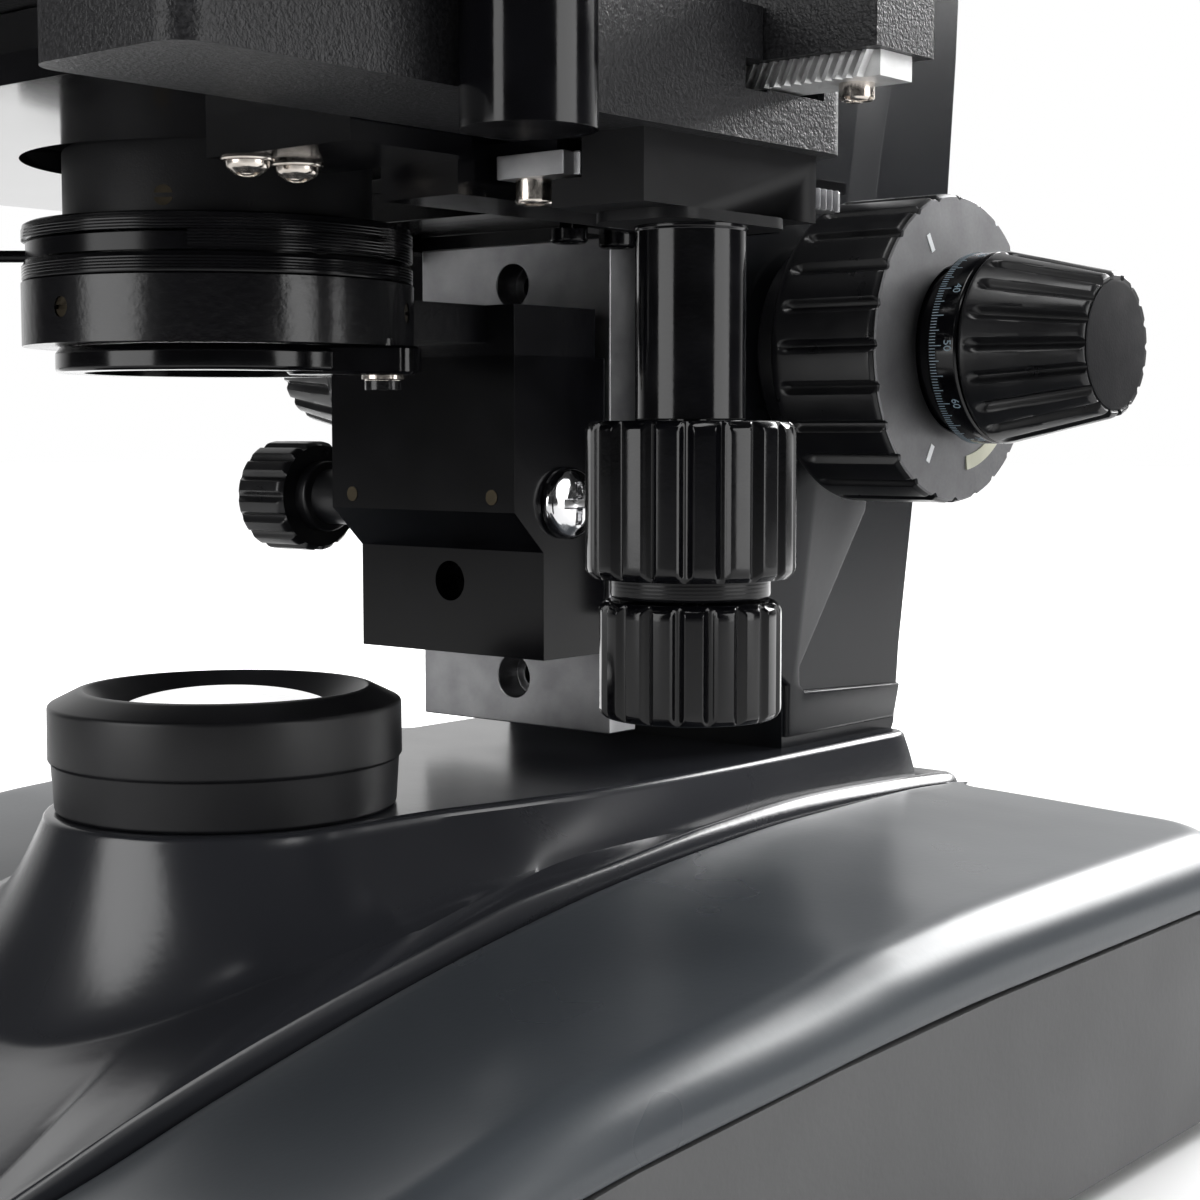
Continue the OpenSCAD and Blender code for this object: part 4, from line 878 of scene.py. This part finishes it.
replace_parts(turned("filter_ring_turned", filter_path, LIGHT_AXIS, "filter_swing", "gloss_black",
                   loop=True), "filter_holder")
prism("filter_lug", LUG, 126.0, 130.1, LIGHT_AXIS, "filter_swing", "gloss_black", 0.4)
pan = rounded([(0, 123.85), (1.6, 123.85, 0.4), (2.6, 124.6, 0.6), (2.65, 125.2, 0.1), (3.1, 125.35),
               (3.1, 125.9), (0, 125.9)])
turned("filter_pivot_screw", pan, upright(26.5, 8), "condenser", "warm_chrome")

knob_path = fine(rounded([(0, -49.9), (9.0, -49.9, 0.4), (10, -49.0, 0.6), (10, -38.4, 0.6),
                          (9.2, -37.6, 0.3)]), 0.6)
knob_path += rounded([(6.4, -37.6), (6.4, -35.2, 0.4), (5, -34.8), (5, -21.6), (2.9, -21.6), (2.9, -2.8),
                      (5, -2.8), (5, 2.8), (2.9, 2.8), (2.9, 21.3), (0, 21.3)])
knob_cut = toothed(18, 4.0, -2.9, 2.9, grooves(16, 1.1, 0.9, (-70, -38), 10))
PINION = crosswise(54.3, 106)
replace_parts(turned("condenser_knob_moulded", knob_path, PINION, "condenser_pinion", "matt_black",
                   cut=knob_cut, angles=groove_angles(16, 1.1, 10)), "condenser_knob")


def crossed(width, length, depth, top):
    """Sinks a cross slot into the end of a lathe piece."""
    def cut(r, h, a):
        u, v = abs(r * math.cos(math.radians(a))), abs(r * math.sin(math.radians(a)))
        if h > top and min(u, v) < width and max(u, v) < length:
            return r, h - depth
        return r, h
    return cut


cap_path = fine(rounded([(0, 21.45), (5.9, 21.45), (6.0, 22.3, 0.3), (5.6, 23.3, 0.8), (3.6, 24.35, 1.2),
                         (0, 24.55)]), 0.25)
turned("condenser_cap", cap_path, PINION, "condenser_pinion", "chrome", cut=crossed(0.75, 3.4, 0.9, 23.2),
       angles=[2 * k for k in range(180)])

# screws under the stage
PAN_X = 41.6
for k, y in enumerate((-30.0, -21.7)):
    head = fine(rounded([(0, 149.85), (1.5, 149.95, 0.4), (2.7, 150.9, 0.8), (2.8, 151.7),
                         (0, 151.75)]), 0.25)
    turned("stage_pan_screw_%d" % k, [(r, -h) for r, h in head], downward(PAN_X, y), "stage_lift",
           "warm_chrome", cut=crossed(0.3, 1.7, 0.8, -151.2), angles=[3 * a for a in range(120)])
    washer = rounded([(2.0, 151.75), (3.3, 151.75, 0.1), (3.4, 152.0), (3.3, 152.35), (2.0, 152.35)])
    turned("stage_washer_%d" % k, washer, upright(PAN_X, y), "stage_lift", "warm_chrome",
           loop=True)


def socket_head(r, low, high):
    """A cap screw's head, seen from below, with its socket."""
    return rounded([(0, low + 1.8), (r * 0.5, low + 1.8), (r * 0.52, low + 0.1), (r * 0.85, low, 0.2),
                    (r, low + 0.4, 0.2), (r, high), (0, high)])


HEAD_TOP = 149.95
first = turned("rack_cap_screw", socket_head(2.5, 146.8, HEAD_TOP), upright(66, -3), "stage_lift",
               "warm_chrome")
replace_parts(first, "stage_screws")
for k, (x, y) in enumerate(((-26, 50), (26, 50), (-26, 62), (26, 62))):
    turned("bracket_screw_%d" % k, socket_head(3.0, 147.7, HEAD_TOP), upright(x, y), "stage_lift",
           "black_anodised")

# slanted rack under the X bar
RACK_PITCH = math.pi * 0.5
RACK_START, RACK_END, RACK_PLAIN = 6.0, 104, 2.2  # along X; no tooth starts in the plain end
RACK_TIP, RACK_ROOT, RACK_BACK = 17.9, 19.0, 26.4  # along Y


def rack_outline(lean):
    """Plan outline of the X rack with its teeth to the front, leaning along X."""
    front = []
    x = RACK_START
    while x < RACK_END - RACK_PLAIN:
        for dx, y in ((0, RACK_ROOT), (0.3, RACK_TIP), (0.95, RACK_TIP), (1.25, RACK_ROOT)):
            front.append((min(x + dx + lean, RACK_END - 0.1), y))
        x += RACK_PITCH
    return front + [(RACK_END, RACK_ROOT), (RACK_END, RACK_BACK), (RACK_START, RACK_BACK)]


rack_loops = [[(x, y, z) for x, y in rack_outline(lean)] for z, lean in ((162.05, 0), (165.25, 1.5))]
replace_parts(swept("x_rack_toothed", rack_loops, "stage_x", "bright_steel", sharp=20),
            "x_rack")
cheese = rounded([(0, 159.85), (2.0, 159.85, 0.2), (2.3, 160.2), (2.3, 162.05), (0, 162.05)])
turned("rack_cheese_screw", [(r, -h) for r, h in fine(cheese, 0.3)], downward(98, 22.9), "stage_x",
       "warm_chrome", cut=crossed(0.35, 9, 0.7, -160.1))

# raised panels and plugs on both sides of the arm
PANEL = [(100.6, 63), (100.6, 72.3), (80.6, 86.3), (80.6, 259), (120, 259), (131, 257), (135.4, 250),
         (135.6, 210), (133.9, 185.1), (130.4, 172), (128.3, 161.8), (127.2, 140), (126.6, 115),
         (125.6, 103), (104.3, 75.3), (104.4, 72.6), (106, 71), (138, 69.5), (136.6, 64.5), (135.8, 63)]
for side, hand in ((1, "right"), (-1, "left")):
    loops = []
    for inset, depth in ((0, 32.6), (0, 33.5), (0.35, 34.0), (0.8, 34.1)):
        trimmed = []
        for i, p in enumerate(PANEL):
            before = Vector(PANEL[i - 1]) - Vector(p)
            after = Vector(PANEL[(i + 1) % len(PANEL)]) - Vector(p)
            along = before.normalized() - after.normalized()
            normal = Vector((along.y, -along.x)).normalized()
            trimmed.append((side * depth, p[0] - normal.x * inset, p[1] - normal.y * inset))
        loops.append(trimmed)
    swept("arm_panel_" + hand, loops, "stand", "black_paint", sharp=45)
    plug = rounded([(0, 31.6), (3.3, 31.6), (3.35, 32.7, 0.3), (0.0, 33.0)])
    turned("arm_plug_" + hand, plug, crosswise(120, 180.5, side), "stand", "plug_grey")

# ---------- CAD nodes that keep their own shape ----------

BEVELS = {"arm_casting": 1.6, "stage_moving_plate": 0.8, "head_body": 2.0, "x_bar": 0.5, "base_casting": 0.8,
          "stage_fixed_plate": 0.6, "control_housing": 0.7, "nosepiece_mount": 1.0, "condenser_block": 0.35}
SMALL_BEVEL = 0.25
NODE_LOOKS = {"condenser_carrier": "cast_black", "condenser_screws": "dull_brass",
              "focus_bushes": "turned_black", "condenser_lens": "glass",
              "stage_fixed_plate": "satin_black", "control_housing": "housing_black"}
for name in sorted(name for name, obj in NODES.items() if not obj.hide_render):
    dress(NODES[name], NODE_LOOKS.get(name, SLOT_OF[name]))
    soften(NODES[name], BEVELS.get(name, SMALL_BEVEL) * MM)


# ---------- camera, floor and light ----------

CAMERA_PLACE = (0.2481, -0.2070, 0.118)
CAMERA_PITCH, CAMERA_TURN = 4.63, 40  # degrees down from level, and to the left of +Y
VIEW_WAY = (-0.643, 0.766, 0)  # level direction of that turn
FLOOR_HALF = 6.0
GLOW_CONE = 0.75  # cosine at the edge of the cone behind the object where the floor glows
MIDDLE = (0, 0.02, 0.1)
ROOM_GLOW = 0.04  # the dark room that reflections see, beside the white backdrop
BACKDROP_EDGE, BACKDROP_FULL = 0.45, 0.80  # cosines from VIEW_WAY where it starts and is full


def softbox(name, place, target, size, watts, shape=(1, 1)):
    """A rectangular area light at place, facing target, hidden from the camera."""
    light = bpy.data.lights.new(name, "AREA")
    light.shape = "RECTANGLE"
    light.size = size * shape[0]
    light.size_y = size * shape[1]
    light.energy = watts
    obj = linked(name, light)
    obj.location = place
    obj.rotation_euler = (Vector(target) - Vector(place)).to_track_quat("-Z", "Y").to_euler()
    obj.visible_camera = False


camera = linked("camera", bpy.data.cameras.new("camera"))
camera.location = CAMERA_PLACE
camera.rotation_euler = (math.radians(90 - CAMERA_PITCH), 0, math.radians(CAMERA_TURN))
camera.data.lens = 63
camera.data.sensor_width = 36
camera.data.clip_start = 0.01
bpy.context.scene.camera = camera

floor_mesh = bpy.data.meshes.new("floor")
floor_corners = [(x * FLOOR_HALF, y * FLOOR_HALF, 0) for x, y in ((-1, -1), (1, -1), (1, 1), (-1, 1))]
floor_mesh.from_pydata(floor_corners, [], [(0, 1, 2, 3)])
floor = linked("floor", floor_mesh)
floor_look = Shade("floor", roughness=0.8)
floor_look.colour(floor_look.noise(0.8, 2), (0.80, 0.80, 0.80), (0.84, 0.84, 0.84))
# the floor glows only behind the object, inside a cone about the direction the camera looks in
away = floor_look.node("ShaderNodeVectorMath", operation="DOT_PRODUCT")
floor_look.link(floor_look.place, away.inputs[0])
away.inputs[1].default_value = VIEW_WAY
reach = floor_look.node("ShaderNodeVectorMath", operation="LENGTH")
floor_look.link(floor_look.place, reach.inputs[0])
inside = floor_look.node("ShaderNodeMath", operation="MULTIPLY_ADD")
floor_look.link(reach.outputs["Value"], inside.inputs[0])
inside.inputs[1].default_value = -GLOW_CONE
floor_look.link(away.outputs["Value"], inside.inputs[2])
floor_glow = floor_look.ramp(inside.outputs["Value"], [(0.02, 0.0), (0.10, 1.0)])
floor_look.link(floor_glow, floor_look.shader.inputs["Emission Strength"])
floor_look.shader.inputs["Emission Color"].default_value = WHITE
floor_mesh.materials.append(floor_look.material)

softbox("rim", (0.24, 1.43, 0.80), (0.05, 0, 0.05), 1.0, 31, (1.0, 0.6))
softbox("right", (1.26, 0.34, 0.40), MIDDLE, 1.0, 10, (0.85, 1.1))
softbox("left", (-0.32, -1.26, 0.40), MIDDLE, 1.0, 10, (0.85, 1.1))
softbox("top", (0.1, -0.2, 1.5), MIDDLE, 0.8, 9)

# the camera sees plain white; reflections see a dark room with a white backdrop behind the object
world = bpy.data.worlds.new("studio")
bpy.context.scene.world = world
world.use_nodes = True
tree = world.node_tree
background = tree.nodes["Background"]
background.inputs["Color"].default_value = WHITE
toward = tree.nodes.new("ShaderNodeVectorMath")
toward.operation = "DOT_PRODUCT"
toward.inputs[1].default_value = VIEW_WAY
tree.links.new(tree.nodes.new("ShaderNodeTexCoord").outputs["Generated"], toward.inputs[0])
backdrop = tree.nodes.new("ShaderNodeMapRange")
backdrop.inputs["From Min"].default_value = BACKDROP_EDGE
backdrop.inputs["From Max"].default_value = BACKDROP_FULL
backdrop.inputs["To Min"].default_value = ROOM_GLOW
backdrop.inputs["To Max"].default_value = 1.0
tree.links.new(toward.outputs["Value"], backdrop.inputs["Value"])
tree.links.new(backdrop.outputs["Result"], background.inputs["Strength"])
seen = tree.nodes.new("ShaderNodeBackground")
seen.inputs["Color"].default_value = WHITE
seen.inputs["Strength"].default_value = 1.0
blend = tree.nodes.new("ShaderNodeMixShader")
path = tree.nodes.new("ShaderNodeLightPath")
tree.links.new(path.outputs["Is Camera Ray"], blend.inputs["Fac"])
tree.links.new(background.outputs[0], blend.inputs[1])
tree.links.new(seen.outputs[0], blend.inputs[2])
tree.links.new(blend.outputs[0], tree.nodes["World Output"].inputs["Surface"])
bpy.context.scene.view_settings.view_transform = "Standard"
